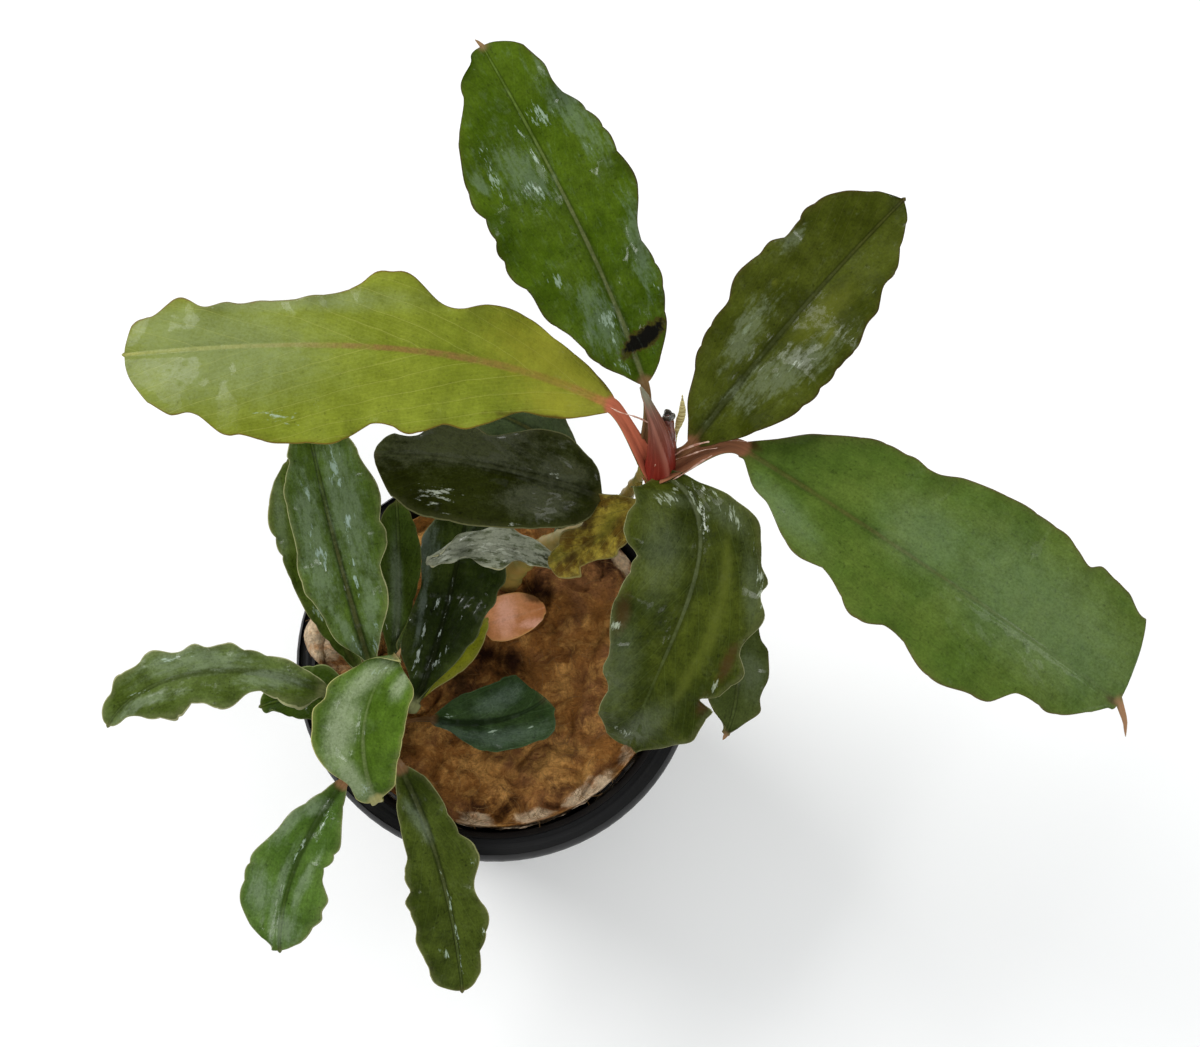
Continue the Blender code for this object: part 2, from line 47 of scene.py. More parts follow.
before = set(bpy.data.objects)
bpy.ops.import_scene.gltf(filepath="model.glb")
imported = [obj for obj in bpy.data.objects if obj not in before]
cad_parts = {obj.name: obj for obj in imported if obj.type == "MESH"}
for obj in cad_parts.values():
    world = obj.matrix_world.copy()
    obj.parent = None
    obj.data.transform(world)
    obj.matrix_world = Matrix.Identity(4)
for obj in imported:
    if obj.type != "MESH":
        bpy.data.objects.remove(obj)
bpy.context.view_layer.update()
POT_LOW, POT_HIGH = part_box("pot")
MM = 0.001

# The pot and the wool, as the CAD part has them
RIM_WIDTH = 3.0
RIM_THICK = 1.2
LIP_DROP = 3.2
BASE_RADIUS = 18.0
WALL = 1.1
FLOOR = 1.4
SLOT_ROWS = ((6, 21), (25, 40))
FLOOR_SLOT_RADII = (8, 14.5)
COLUMNS_PER_SLOT = 5        # mesh columns from one slot of the wall to the next, 2 of them open
POT_TURN = 2.25             # degrees
POT_FLOOR_RADII = (0, 3, 5.5, 8, 9.6, 11.2, 12.8, 14.5, 16.4)
POT_WALL_HEIGHTS = (1, 2.5, 4.2, 6, 8.5, 11, 13.5, 16, 18.5, 21, 23, 25, 27.5, 30, 32.5, 35, 37.5, 40, 42,
                    44, 45.6)
EDGE_ROUNDING = 0.22
ROUNDED_ABOVE = 50          # degrees between faces
SHARP_ABOVE = 38
WOOL_GAP = 0.4
WOOL_LEVEL = 46.4
WOOL_SPILL_TURN = 173.0
WOOL_SPILL_SPREAD = 20.0
WOOL_PIT = (2.2, -0.7)
FIBRE_THICK = 0.022
# Marks on the wool: what they look like, their middle, radius and strength. The dark ones are painted shade
# in the pit, the hollows and under the leaves, with darker staining; the ochre ones are lighter staining,
# partly painted light; the cream ones are clean wool
WOOL_STAINS = (
    ("dark", 1.9, -0.2, 2.2, 0.95), ("dark", -1.4, 0.6, 3, 0.8), ("dark", -4.2, -3, 3.4, 0.6),
    ("dark", 5.4, 9.8, 2.8, 0.8), ("dark", 15.3, 14, 3.4, 0.9), ("dark", 11.8, -8.2, 2, 0.55),
    ("dark", 1.9, -19.4, 3, 0.7), ("dark", 8.3, -17.2, 2.4, 0.6), ("dark", -2.4, -20, 2.6, 0.6),
    ("dark", 7.8, -5.2, 1.2, 0.4), ("ochre", 8.7, -2.8, 2.2, 0.8), ("ochre", 5.4, -6, 1.6, 0.5),
    ("ochre", -1, -14, 4.6, 0.65), ("ochre", 6.6, -13.2, 4.4, 0.75), ("ochre", 12, 3.5, 4.6, 0.3),
    ("ochre", -9.4, -9.6, 3.4, 0.45), ("ochre", -10.5, 17.6, 5, 0.9), ("ochre", 3.2, 7.4, 1.8, 0.4),
    ("cream", -23, 3.6, 4.6, 1), ("cream", -16.5, 6, 4, 0.4),
)
# Pale torn wool between the stained middle and the rim: degrees round the pot, spread, rise
WOOL_SHREDS = ((-55, 9, 1), (-97, 6, 0.7), (-76, 6.5, 0.6), (-36, 5, 0.5),
               (-150, 8, 0.4), (35, 12, 0.6), (95, 10, 0.5))

TALL_STEM = ((0.6, 10.2, 38), (1.4, 10.8, 46), (4.6, 12.2, 54), (13.2, 13.9, 64), (16.9, 15.9, 69.7),
             (18.2, 16.5, 75), (19, 16.7, 78.8), (20.2, 17, 81))
TALL_STEM_RADII = (1.5, 1.6, 1.4, 1, 0.72, 0.56, 0.62, 0.95)
LOW_STEM = ((-11.8, -1, 38), (-12.4, -3, 46), (-13.6, -6.2, 49.6), (-14.6, -11, 50.2),
            (-15, -15.4, 50.4), (-15.1, -16.8, 50.9))
LOW_STEM_RADII = (1.3, 1.6, 1.6, 1.5, 1.2, 0.8)
YOUNG_LEAF = ((20, 16.5, 77), (20.6, 16, 79.4), (20.7, 17.2, 84), (20.2, 18.4, 88.5),
              (19.1, 19.8, 93), (18.1, 20.8, 96.5))
YOUNG_LEAF_RADII = (0.7, 1.9, 2.05, 1.8, 1.6, 1.4, 1.15, 0.8, 0.55, 0.42, 0.16)
YOUNG_LEAF_FACING = (0.25, -1, 0.3)
DRY_SHEATH = ((22.3, 18.3, 80.6), (22.4, 19.4, 83.2), (22.7, 19.8, 86), (23, 20.4, 89),
              (22.9, 21.2, 92.6))
DRY_SHEATH_RADII = (0.18, 0.2, 0.32, 0.5, 0.36, 0.04)
OLD_STALK = ((21.6, 17.4, 80.6), (21.5, 18.3, 84.2), (21.3, 19.4, 87.6), (21.4, 19.9, 88.6))
OLD_STALK_RADII = (1, 0.95, 0.75, 0.62)
# The withered end of the old stalk, as radii and heights over its end
KNOB_SECTION = ((0.05, -0.5), (0.5, -0.45), (0.66, -0.1), (0.7, 0.25), (0.62, 0.5), (0.5, 0.55),
                (0.4, 0.35), (0.3, 0.05), (0.03, -0.1))
# Papery strands left by old sheaths: their points and half-widths
STRANDS = {
    "petiole_curl": (
        ((14.6, 21.9, 85.9), (15.8, 21.2, 86.1), (17.3, 20.8, 85.9), (18.4, 20.6, 85.2),
            (19.4, 20.2, 84.6)), (0.02, 0.08, 0.07, 0.16, 0.04)),
    "spear_membrane": (
        ((20.4, 19.9, 89.6), (20.9, 19, 88), (21.5, 18.3, 86.2), (22, 17.7, 84), (22.2, 17.2, 82.2)),
        (0.02, 0.06, 0.12, 0.18, 0.07)),
    "right_upper": (
        ((21.9, 16.9, 82), (23.3, 17.5, 83.2), (25.2, 18, 84), (27.2, 18.2, 84.4), (29.4, 18.2, 84.5),
            (31.4, 18.1, 84.4)), (0.03, 0.13, 0.1, 0.06, 0.05, 0.02)),
    "right_lower": (
        ((20.8, 13.8, 80.2), (22, 14.3, 81.4), (23.6, 15, 82.3), (25.2, 15.9, 83.2), (26.6, 16.6, 83.8)),
        (0.02, 0.07, 0.08, 0.1, 0.02)),
    "right_middle": (((22.4, 16.4, 82.8), (24, 16.7, 83.7), (25.6, 17.1, 84.3), (27.2, 17.3, 84.5)),
        (0.02, 0.08, 0.06, 0.02)),
    "hook": (((19.9, 15.4, 83.4), (20.2, 15.8, 84), (20.8, 15.9, 84), (21.2, 15.8, 83.5)),
        (0.02, 0.08, 0.07, 0.02)),
    "low_crown_left": (((-15.6, -6.6, 52.6), (-16.3, -5.9, 53.8), (-17, -5.6, 54.6)), (0.18, 0.12, 0.02)),
    "low_crown_right": (((-12.9, -8.2, 51.4), (-12, -8, 52.6), (-11.4, -7.4, 53.2)), (0.18, 0.12, 0.02)),
}

# The leaves. Each has the start of its blade and its petiole's root, its direction, how far it rises and
# droops, and half-widths on both sides from start to end. The lobes of both margins are places along the
# leaf and how far they stand out there, and the point is its own length and turn
LEAVES = {
    "tall_leaf_back": dict(base=(18.7, 24.5, 87), root=(18.5, 18.3, 80.2), heading=112, sweep=8, turn=3,
        length=43.5, pitch=38, droop=30, left=(2, 5, 7, 8.8, 9.6, 10, 10, 9, 7.2, 4.2),
        right=(2.5, 4.8, 6, 6.2, 6.8, 7.6, 7.2, 6.4, 5.4, 3.8),
        lobes=(((4, 0.9), (9, 0.2), (11.5, 0.8), (15.5, 0), (18, 0.6), (21, 0.3), (25, -0.1), (28, 0.3),
            (34, 0.2), (38, -0.8), (40.5, -0.1), (42, -1)), ((5.5, 0.3), (9.5, -0.1), (12.5, 0.2),
            (17, -0.5), (22, 1.1), (26, 0.2), (28.5, 0.5), (32, 0.3), (35.5, -1), (39, 0.4), (42, 0.4))),
        fold=12, wave=0.7, waves=5, phase=0.4, crimp=0.3, point=(0.9, 25), tip=0.8, petiole=(0.5, 0.5),
        sheath=0.6, sink=1.6, arch=(0.3, 0.3, 0.1)),
    "tall_leaf_back_right": dict(base=(24.3, 18.3, 83), root=(22, 17.6, 80.4), heading=48, sweep=-2,
        length=38.2, pitch=35, droop=35, left=(1.7, 4, 5.6, 6.6, 7.3, 7.9, 7.4, 6.6, 5.6, 3),
        right=(2.4, 5.2, 7.2, 8, 8.5, 8.1, 7.4, 6.4, 5, 2.5),
        lobes=(((3, 0.5), (5.5, 0.2), (8.5, 0.7), (15, 0.2), (18, 0.7), (22, 0.1), (24, 0.5), (26, -0.4),
            (30, 1.1), (34, 1.1), (36.5, 0.1), (38, -0.9)), ((9, -0.1), (13, 0.3), (19, -0.2), (21, 0.5),
            (24, -0.1), (26, 0.2), (28.5, -0.6), (30.5, 0), (33, -0.5), (36, -0.2), (38, -0.8))), fold=14,
        wave=0.6, waves=5, phase=2, petiole=(0.6, 0.5), sheath=1, sink=1.2, arch=(0.3, 0.3, 0.1)),
    "tall_leaf_right": dict(base=(30.3, 17.7, 83), root=(21.1, 15.5, 79.9), heading=-36, sweep=6, turn=0.6,
        length=53.8, pitch=12, droop=35, left=(2.6, 6, 8.4, 9.4, 10.4, 11.4, 11.6, 10.8, 11, 10),
        right=(2.8, 6, 8.4, 9.4, 9.6, 10.2, 10.8, 8.6, 6.6, 4),
        lobes=(((5, 1.4), (8, 0.9), (12, 1.6), (17, 0.9), (20.5, -0.2), (24, 1.4), (28, 0.9), (33, 1.1),
            (37, 1.6), (41.5, 0.1), (43.5, 1.1), (45.5, 0.8), (47.7, 0.6), (50.2, -0.5), (52.2, 0.2),
            (53.4, 0.9)), ((1, -0.6), (3.5, -0.1), (7, -0.9), (11.5, -0.2), (16.5, -1.8), (22.5, 0.6),
            (27, -1.2), (32, 0.4), (36.5, -0.2), (40, 0.4), (42, -1.2), (48, 0.1), (52.5, -1.1))), fold=4,
        wave=0.8, waves=5, phase=1, crimp=0.16, point=(3.6, -58), tip=1, tip_half=0.62,
        petiole=(0.95, 0.75), sheath=1.5, sink=0.2, arch=(0.3, 0.3, 0.1)),
    "tall_leaf_left": dict(base=(14.8, 22.4, 85), root=(19.4, 16, 79.3), heading=158, sweep=25, turn=2.5,
        length=57.8, pitch=22, droop=30, left=(2.5, 4.8, 7.4, 9, 10.2, 11.8, 12.2, 11.8, 9.8, 6.6),
        right=(2.4, 5.4, 7, 6.4, 8.8, 6.8, 5, 4.4, 5.4, 4),
        lobes=(((5, 0.7), (11, -0.6), (16.5, 0.5), (19.5, -0.4), (23.5, 0.6), (28.8, -1.5), (33.5, 0.3),
            (36.5, -0.1), (40, -0.2), (44, -0.5), (45.5, -0.2), (49.5, -1.5), (52.5, 0), (56, -0.4)),
            ((3.5, 0.3), (8.5, -1), (12, -0.1), (16.5, -0.1), (20, -0.9), (27, 0.3), (29, 1.1), (31, 0.3),
            (36, 0.2), (42, 1.2), (45, 0.7), (48, -0.7), (51.5, 1.6), (54.5, 0.1), (57, 1.3))), fold=4,
        wave=0.7, waves=6, phase=2.6, crimp=0.12, quilt=0.01, petiole=(0.95, 0.6), sheath=0.9, sink=0.6,
        arch=(0.35, 0.15, 0.2)),
    "tall_leaf_front": dict(base=(20.25, 15, 81), root=(19.6, 15.9, 79.8), heading=-11, sweep=-106,
        turn=4.9, length=42.5, pitch=18, droop=112, bend=0.65,
        left=(1.9, 4.2, 7.1, 8.2, 8.3, 8.6, 7.6, 7, 5, 2.4),
        right=(4, 7, 8.8, 7.6, 7.6, 7.6, 6.4, 5.3, 4.2, 3),
        lobes=(((2.2, -0.8), (4.2, -1.3), (7.2, -0.4), (9, 0.7), (11, -0.1), (12.7, -0.5), (14.2, 0.4),
            (15.2, -0.2), (17.2, 0.9), (20.7, -0.6), (23.2, 0.7), (26.2, -0.2), (27.7, -1.8), (29, 0.3),
            (31.2, 0.1), (32.7, 0.4), (37.2, -0.2), (40.2, -1)), ((2.2, -0.4), (3.7, -0.8), (6.7, -0.8),
            (9.2, 0), (11.2, 0.3), (13.7, -0.5), (15.7, 0), (21.7, 0.4), (27.2, -0.4), (30.2, 0.4),
            (32.2, -0.4), (36.2, 0.4), (40.2, 0))), shoulders=(0, 1.1), wave=0.7, waves=5, phase=0.2,
        crimp=0.24, quilt=0.03, point=(0.3, 0), petiole=(0.6, 0.5), sheath=0.4, sink=1.2,
        arch=(0.2, 0.2, 0)),
    "tall_leaf_behind_front": dict(base=(25.7, 5.4, 68), root=(17.4, 13.2, 69.5), heading=-48, sweep=-67,
        length=21.2, pitch=5, droop=50, left=(1.6, 4.4, 4.6, 4.2, 3.5, 1.9),
        right=(1.9, 4.2, 4.8, 4.6, 3.9, 2),
        lobes=(((9, -1.3), (10.5, -0.6), (13, -0.3), (15, -0.9), (17, 0.1), (20.5, -1)), ((18, -0.3),
            (20, -1.3))), fold=6, crimp=0.1, point=(0.7, -10), tip=0.9, petiole=(0.8, 0.6), sink=2.4),
    "tall_leaf_dark": dict(base=(13.6, 15, 71.4), root=(14.1, 15.1, 70.4), heading=166, sweep=17, turn=0.5,
        length=28.4, pitch=24, droop=30, left=(3.6, 6.2, 7, 7.2, 6.6, 4.9),
        right=(4, 5.8, 5.4, 4.8, 4.6, 3.4),
        lobes=(((0.5, 1.3), (3, 0.8), (6.5, 0.1), (18, 0.6), (23.5, 0.9), (26, 0.3), (28, -0.3)), ((1, 0.7),
            (2.5, 0.1), (5.5, 0.6), (8, 0.3), (15, -1.3), (17.5, 0), (20, 0.5), (23.5, -1.7),
            (27.5, -0.3))), fold=3, wave=0.2, waves=3, crimp=0.08, quilt=0.03, point=(0.05, 0),
        tip_half=0.5, petiole=(0.5, 0.4), sheath=0.3, sink=2.4, arch=(0.3, 0.3, 0)),
    "tall_leaf_behind_dark": dict(base=(10.2, 21.8, 62.6), root=(8.2, 14, 57.8), heading=137, sweep=36,
        length=16.8, pitch=26, droop=30, left=(1.6, 2.6, 3.2, 3.4, 3, 1.8),
        right=(2, 3.6, 4.4, 4.4, 3.8, 2), fold=4, crimp=0.1, petiole=(0.8, 0.6), sink=0.8),
    "tall_leaf_low": dict(base=(7.8, 8.9, 62.2), root=(11.6, 12.6, 61), heading=153, sweep=52, length=16.6,
        pitch=16, droop=32, left=(1.4, 2.4, 3, 2.8, 2.4, 1.5), right=(1.2, 2.4, 3, 3.2, 2.6, 1.6),
        lobes=(((0.9, -0.2), (2.6, -0.4), (4.3, -0.8), (6.8, 0), (9.1, -0.1), (12.1, -1.2), (14.8, -0.4),
            (17.3, 0.7)), ((8, -0.6), (10, -1.1), (11.7, -1), (13.1, -1.8), (15.1, -1.5), (17, 0.4))),
        fold=14, wave=1.1, waves=3, crimp=0.14, quilt=0.03, point=(0.4, 60), petiole=(0.8, 0.6), sink=0.9),
    "tall_leaf_decaying": dict(base=(18, 13.9, 73.2), root=(18.2, 15.7, 74.2), heading=-137, sweep=-34,
        length=15, pitch=-25, droop=20, left=(0.9, 2.6, 3, 2.8, 2.6, 2.2),
        right=(2.3, 3.9, 3.8, 2.6, 2.2, 1.8),
        lobes=(((6, 0.3), (9, -0.5), (12, 0.6)), ((4, 0.4), (8, -0.4), (11, 0.5), (13, -0.3))), fold=4,
        wave=0.7, waves=3, crimp=0.3, tip_half=0.8, petiole=(0.45, 0.4), sheath=0.2, sink=0.5,
        arch=(0.3, 0.3, 0)),
    "low_leaf_back": dict(base=(-15.2, -3.6, 59.5), root=(-14, -4.2, 52.4), heading=107, sweep=-5,
        length=32.4, pitch=40, droop=28, left=(1.7, 3.7, 4.8, 5.2, 5.6, 5.2, 5.1, 4.7, 3.7, 2.3),
        right=(1.4, 2.8, 4.2, 4.6, 5.7, 6.2, 6.2, 5.8, 5, 3.4),
        lobes=(((0.5, -1), (5, -0.8), (9, -1), (12, -0.2), (19, -0.4), (25, -0.1), (27.5, -0.5), (28.5, 0)),
            ((9.5, 0.4), (13.5, -0.3), (16, 0.5), (18.5, 0), (22, 0.9), (26.5, 0.2), (28, 0.5))), fold=12,
        wave=0.5, waves=5, phase=0.8, crimp=0.2, quilt=0.03, petiole=(0.8, 0.6), sink=2.8),
    "low_leaf_back_left": dict(base=(-16.9, -3.6, 55.8), root=(-15.5, -5.6, 51.6), heading=123, sweep=-20,
        turn=2.2, length=28.5, pitch=26, droop=24, left=(1.6, 2.9, 3.7, 4.2, 4, 2.4),
        right=(1.3, 2.8, 3.4, 3.8, 3.8, 2.2),
        lobes=(((0.5, -0.9), (14, -0.6), (15.5, -0.8), (17.5, -0.6), (24, 0.4), (27.5, -0.3)), ()), waves=5,
        phase=2.2, crimp=0.34, petiole=(0.8, 0.6)),
    "low_leaf_back_narrow": dict(base=(-12.4, -2.6, 57.4), root=(-12.5, -3.2, 52), heading=83, sweep=12,
        length=20.3, pitch=28, droop=25, left=(1, 2.2, 3, 3.1, 2.9, 1.9),
        right=(1.1, 2.5, 3.2, 3.5, 3.2, 1.9), lobes=((), ((3, -1.4), (15, -0.5), (18, -0.2))), wave=0.3,
        waves=3, crimp=0.15, petiole=(0.7, 0.5), sink=3.5),
    "low_leaf_back_right": dict(base=(-9.9, -7.3, 54), root=(-11.7, -6.6, 51), heading=66, sweep=14, turn=2,
        length=26.4, pitch=16, droop=20, left=(2, 3.8, 4.9, 5.6, 5.2, 3.4),
        right=(1.9, 3.3, 4.6, 5.8, 6, 3.8),
        lobes=(((0.5, -0.8), (6.5, 0.6), (15, -1.7), (23, 0.5)), ((0.5, -1.1), (11, 0.4), (12.5, 0),
            (14.5, 0.5), (16, 0.2), (17.5, 0.6), (19.5, 0.3))), fold=12, crimp=0.22, quilt=0.04,
        petiole=(0.8, 0.6)),
    "low_leaf_left": dict(base=(-20.8, -6.8, 60), root=(-15.9, -8.4, 52.4), heading=160, sweep=88, turn=0.5,
        length=30, pitch=22, droop=50, left=(1.9, 2.9, 4.4, 3.8, 3.8, 1.8),
        right=(1.7, 2.6, 3.1, 3.3, 3.5, 2.2),
        lobes=(((2, 1.5), (9, -0.6), (13, 0.8), (16, -0.3), (19.5, 1.2), (23, 0.5), (27, -0.4), (29, 0)),
            ((10.5, -0.4), (12.5, 0.6), (14.5, -0.4), (16, 0.3), (17.5, -0.2), (21.5, 0.5), (23, -0.3),
            (25, 0.4), (26.5, -0.2), (28, 0.2))), wave=0.6, waves=6, phase=1.2, crimp=0.36, quilt=0.03,
        petiole=(0.8, 0.6)),
    "low_leaf_left_under": dict(base=(-18.6, -6.6, 53), root=(-16.4, -7.4, 50.6), heading=168, sweep=31,
        length=11.4, pitch=8, droop=25, left=(2, 3.6, 4, 3.8, 3.2, 1.9), right=(2.4, 3.9, 3.9, 3.6, 3, 1.6),
        lobes=(((5, -0.8), (9.5, -1.4)), ()), fold=4, wave=0.3, waves=2, crimp=0.2, petiole=(0.7, 0.5)),
    "low_leaf_top": dict(base=(-14.4, -19.8, 56), root=(-15, -17.2, 51.8), heading=116, sweep=-70, turn=0.9,
        length=21, pitch=60, droop=66, left=(2.6, 4.4, 6, 6.2, 5.2, 3.6), right=(2.5, 3.9, 5, 5.8, 5.8, 4),
        lobes=(((4.5, -1.3), (9, 0.3), (10.5, 0), (12, 0.2), (13.5, -0.8), (14.5, -0.3), (18, -1.5),
            (20.5, -3)), ((1, 0.6), (6.5, -0.1), (15, -0.9), (18.5, 0), (20.5, -1.6))), fold=4, cup=0.05,
        wave=0.5, waves=3, crimp=0.1, point=(0.8, 30), tip=0.8, petiole=(0.8, 0.6)),
    "low_leaf_front_left": dict(base=(-18.8, -17.4, 54), root=(-16.6, -15.4, 51.4), heading=-125, sweep=40,
        turn=0.6, length=22.9, pitch=12, droop=40, left=(1.6, 3.1, 4.3, 4.6, 4.2, 2.5),
        right=(1.2, 2.8, 4.4, 5.7, 5.6, 3.4),
        lobes=(((7, 0.4), (12, -0.8), (15, 1), (16.5, 0.7), (18, 1.1), (20, 0.9), (21.5, 0.8), (22.5, 0.2)),
            ((6, 0.2), (11, -0.1), (17, -0.3), (19.5, -0.4), (22, -1.5))), phase=0.6, crimp=0.34,
        quilt=0.03, petiole=(0.7, 0.5)),
    "low_leaf_front_right": dict(base=(-11.6, -15.5, 54), root=(-13.2, -14, 51.6), heading=-62, sweep=-24,
        length=29.5, pitch=12, droop=40, left=(2.2, 3.6, 4.5, 3.8, 4.2, 2.6),
        right=(1.8, 3.7, 4.1, 5, 4.8, 3.6),
        lobes=(((2.5, 0.1), (10, -0.7), (13.5, 0.8), (17, -0.2), (20, 0.4), (24.5, -0.6), (27.5, 0)),
            ((11, -0.7), (13, 0.2), (15.5, -0.4), (17, 0.2), (20, -0.5), (22.5, 0.2), (25.5, -0.1),
            (28.5, 0.6))), wave=0.6, waves=6, phase=1.8, crimp=0.3, quilt=0.03, petiole=(0.7, 0.5)),
    "low_leaf_right": dict(base=(-8.1, -8.8, 51.5), root=(-11.6, -9.4, 50.2), heading=-12, sweep=60,
        turn=0.6, length=15.2, pitch=4, droop=12, left=(1.4, 3.4, 4.2, 4.4, 4.6, 4.2),
        right=(1.2, 2.8, 4.1, 4.4, 4.2, 3.6),
        lobes=(((2, 0.4), (5.7, 0), (9.5, 0.3), (12, 0.5), (14.2, 0.5)), ((2.9, -0.8), (5.6, -0.5),
            (8.3, -0.2), (11.3, 0), (13.2, 0.5), (14.6, 0.6))), wave=0.2, waves=2, crimp=0.16, tip_half=2,
        petiole=(0.3, 0.3), sheath=0.3, arch=(0.2, 0.3, -1.4)),
    "low_leaf_yellow": dict(base=(-9.2, -4.8, 49.4), root=(-10.8, -4.9, 48.6), heading=47, sweep=5,
        length=12.4, pitch=7, droop=10, left=(0.8, 1.6, 2.2, 2.4, 2, 1.2),
        right=(0.8, 1.4, 1.9, 2.2, 1.8, 1), fold=4, wave=0.2, waves=2, crimp=0.1, petiole=(0.6, 0.5)),
    "faded_leaf": dict(base=(-1.8, 4, 48.6), root=(-3.4, 3.5, 48.3), heading=16, sweep=2, length=8.4,
        pitch=4, droop=8, left=(2.3, 3.1, 3.3, 3.2, 2.8, 1.9), right=(2.2, 2.7, 2.8, 2.6, 2.2, 1.5),
        fold=-4, wave=0, crimp=0, quilt=0, rib=0, point=(0.1, 0), tip=0, tip_half=0.8, petiole=(0.6, 0.5),
        sink=1.2),
}
# What a leaf has where the table above says nothing
USUAL = dict(turn=1, bend=1, lobes=((), ()), shoulders=(0, 0), fold=8, cup=0, wave=0.4, waves=4, phase=0,
             crimp=0.28, quilt=0.02, rib=1, point=(0.25, 0), tip=0.1, tip_half=0.3, petiole=(0.9, 0.7),
             sheath=0.5, sink=2.2, arch=(0.35, 0.35, 0.5))
STEP = 0.26                 # millimetres between a blade's rows
COLUMN_WIDTH = 0.34         # and between its columns where it is widest
COLUMNS_EACH_SIDE = (12, 30)
CRIMP_LENGTH = 3.7
BLADE_THICK = 0.42
MARGIN_THICK = 0.16
PETIOLE_ROWS = 26
POINT_ROWS = 7


def srgb(red, green, blue):
    """The linear colour of a screen colour given from 0 to 255."""
    return tuple(v/255/12.92 if v < 10.4 else ((v/255+0.055)/1.055)**2.4 for v in (red, green, blue))


# What every leaf's look starts from. Colours are screen colours from 0 to 255. Film is the colour of the
# painted sheen, and glint that of the painted glints
USUAL_LOOK = dict(tip=(146, 112, 82), dead=(14, 13, 9), yellow=(100, 105, 32), brown=(62, 44, 18),
                  film=(136, 150, 124), glint=(154, 172, 150), mottle=0.6, veins=0.45, vein_slant=2.2,
                  stalk_reach=0.06, glow=0.3, groove=0.6, rib=0.6, margin_width=0.16, haze=0.25, crisp=0.15,
                  streak=0.25, patch=6.5, rib_width=1, rib_fade=0, grain=1)
# Each finish: body and second mottle over each other. A body given as a name is that colour of the settings
FINISHES = {
    "leaf_bright": dict(body="bright", second=(76, 96, 20), vein=(92, 116, 42), midrib=(98, 104, 54),
                        margin=(92, 84, 44), wet=0.7, rough=0.38),
    "leaf_olive": dict(body="olive", second=(74, 82, 24), vein=(84, 86, 36), midrib=(80, 84, 50),
                       margin=(70, 54, 28), wet=0.5, rough=0.42),
    "leaf_green": dict(body="green", second=(82, 98, 38), vein=(92, 108, 54), midrib=(78, 74, 36),
                       margin=(104, 98, 62), wet=0.3, rough=0.46),
    "leaf_new": dict(body="new", second=(126, 136, 44), vein=(168, 170, 84), midrib=(142, 108, 52),
                     margin=(112, 86, 34), wet=0.25, rough=0.42),
    "leaf_dark": dict(body="dark", second=(46, 52, 18), vein=(60, 66, 32), midrib=(44, 48, 24),
                      margin=(128, 128, 92), wet=0.6, rough=0.34),
    "leaf_decaying": dict(body="decaying", second=(118, 112, 36), vein=(146, 130, 62),
                          midrib=(126, 100, 44), margin=(150, 140, 84), wet=0.25, rough=0.5),
    "leaf_faded": dict(body="faded", second=(218, 154, 110), vein=(222, 160, 116), midrib=(176, 118, 78),
                       margin=(186, 140, 80), wet=0.6, rough=0.34),
}
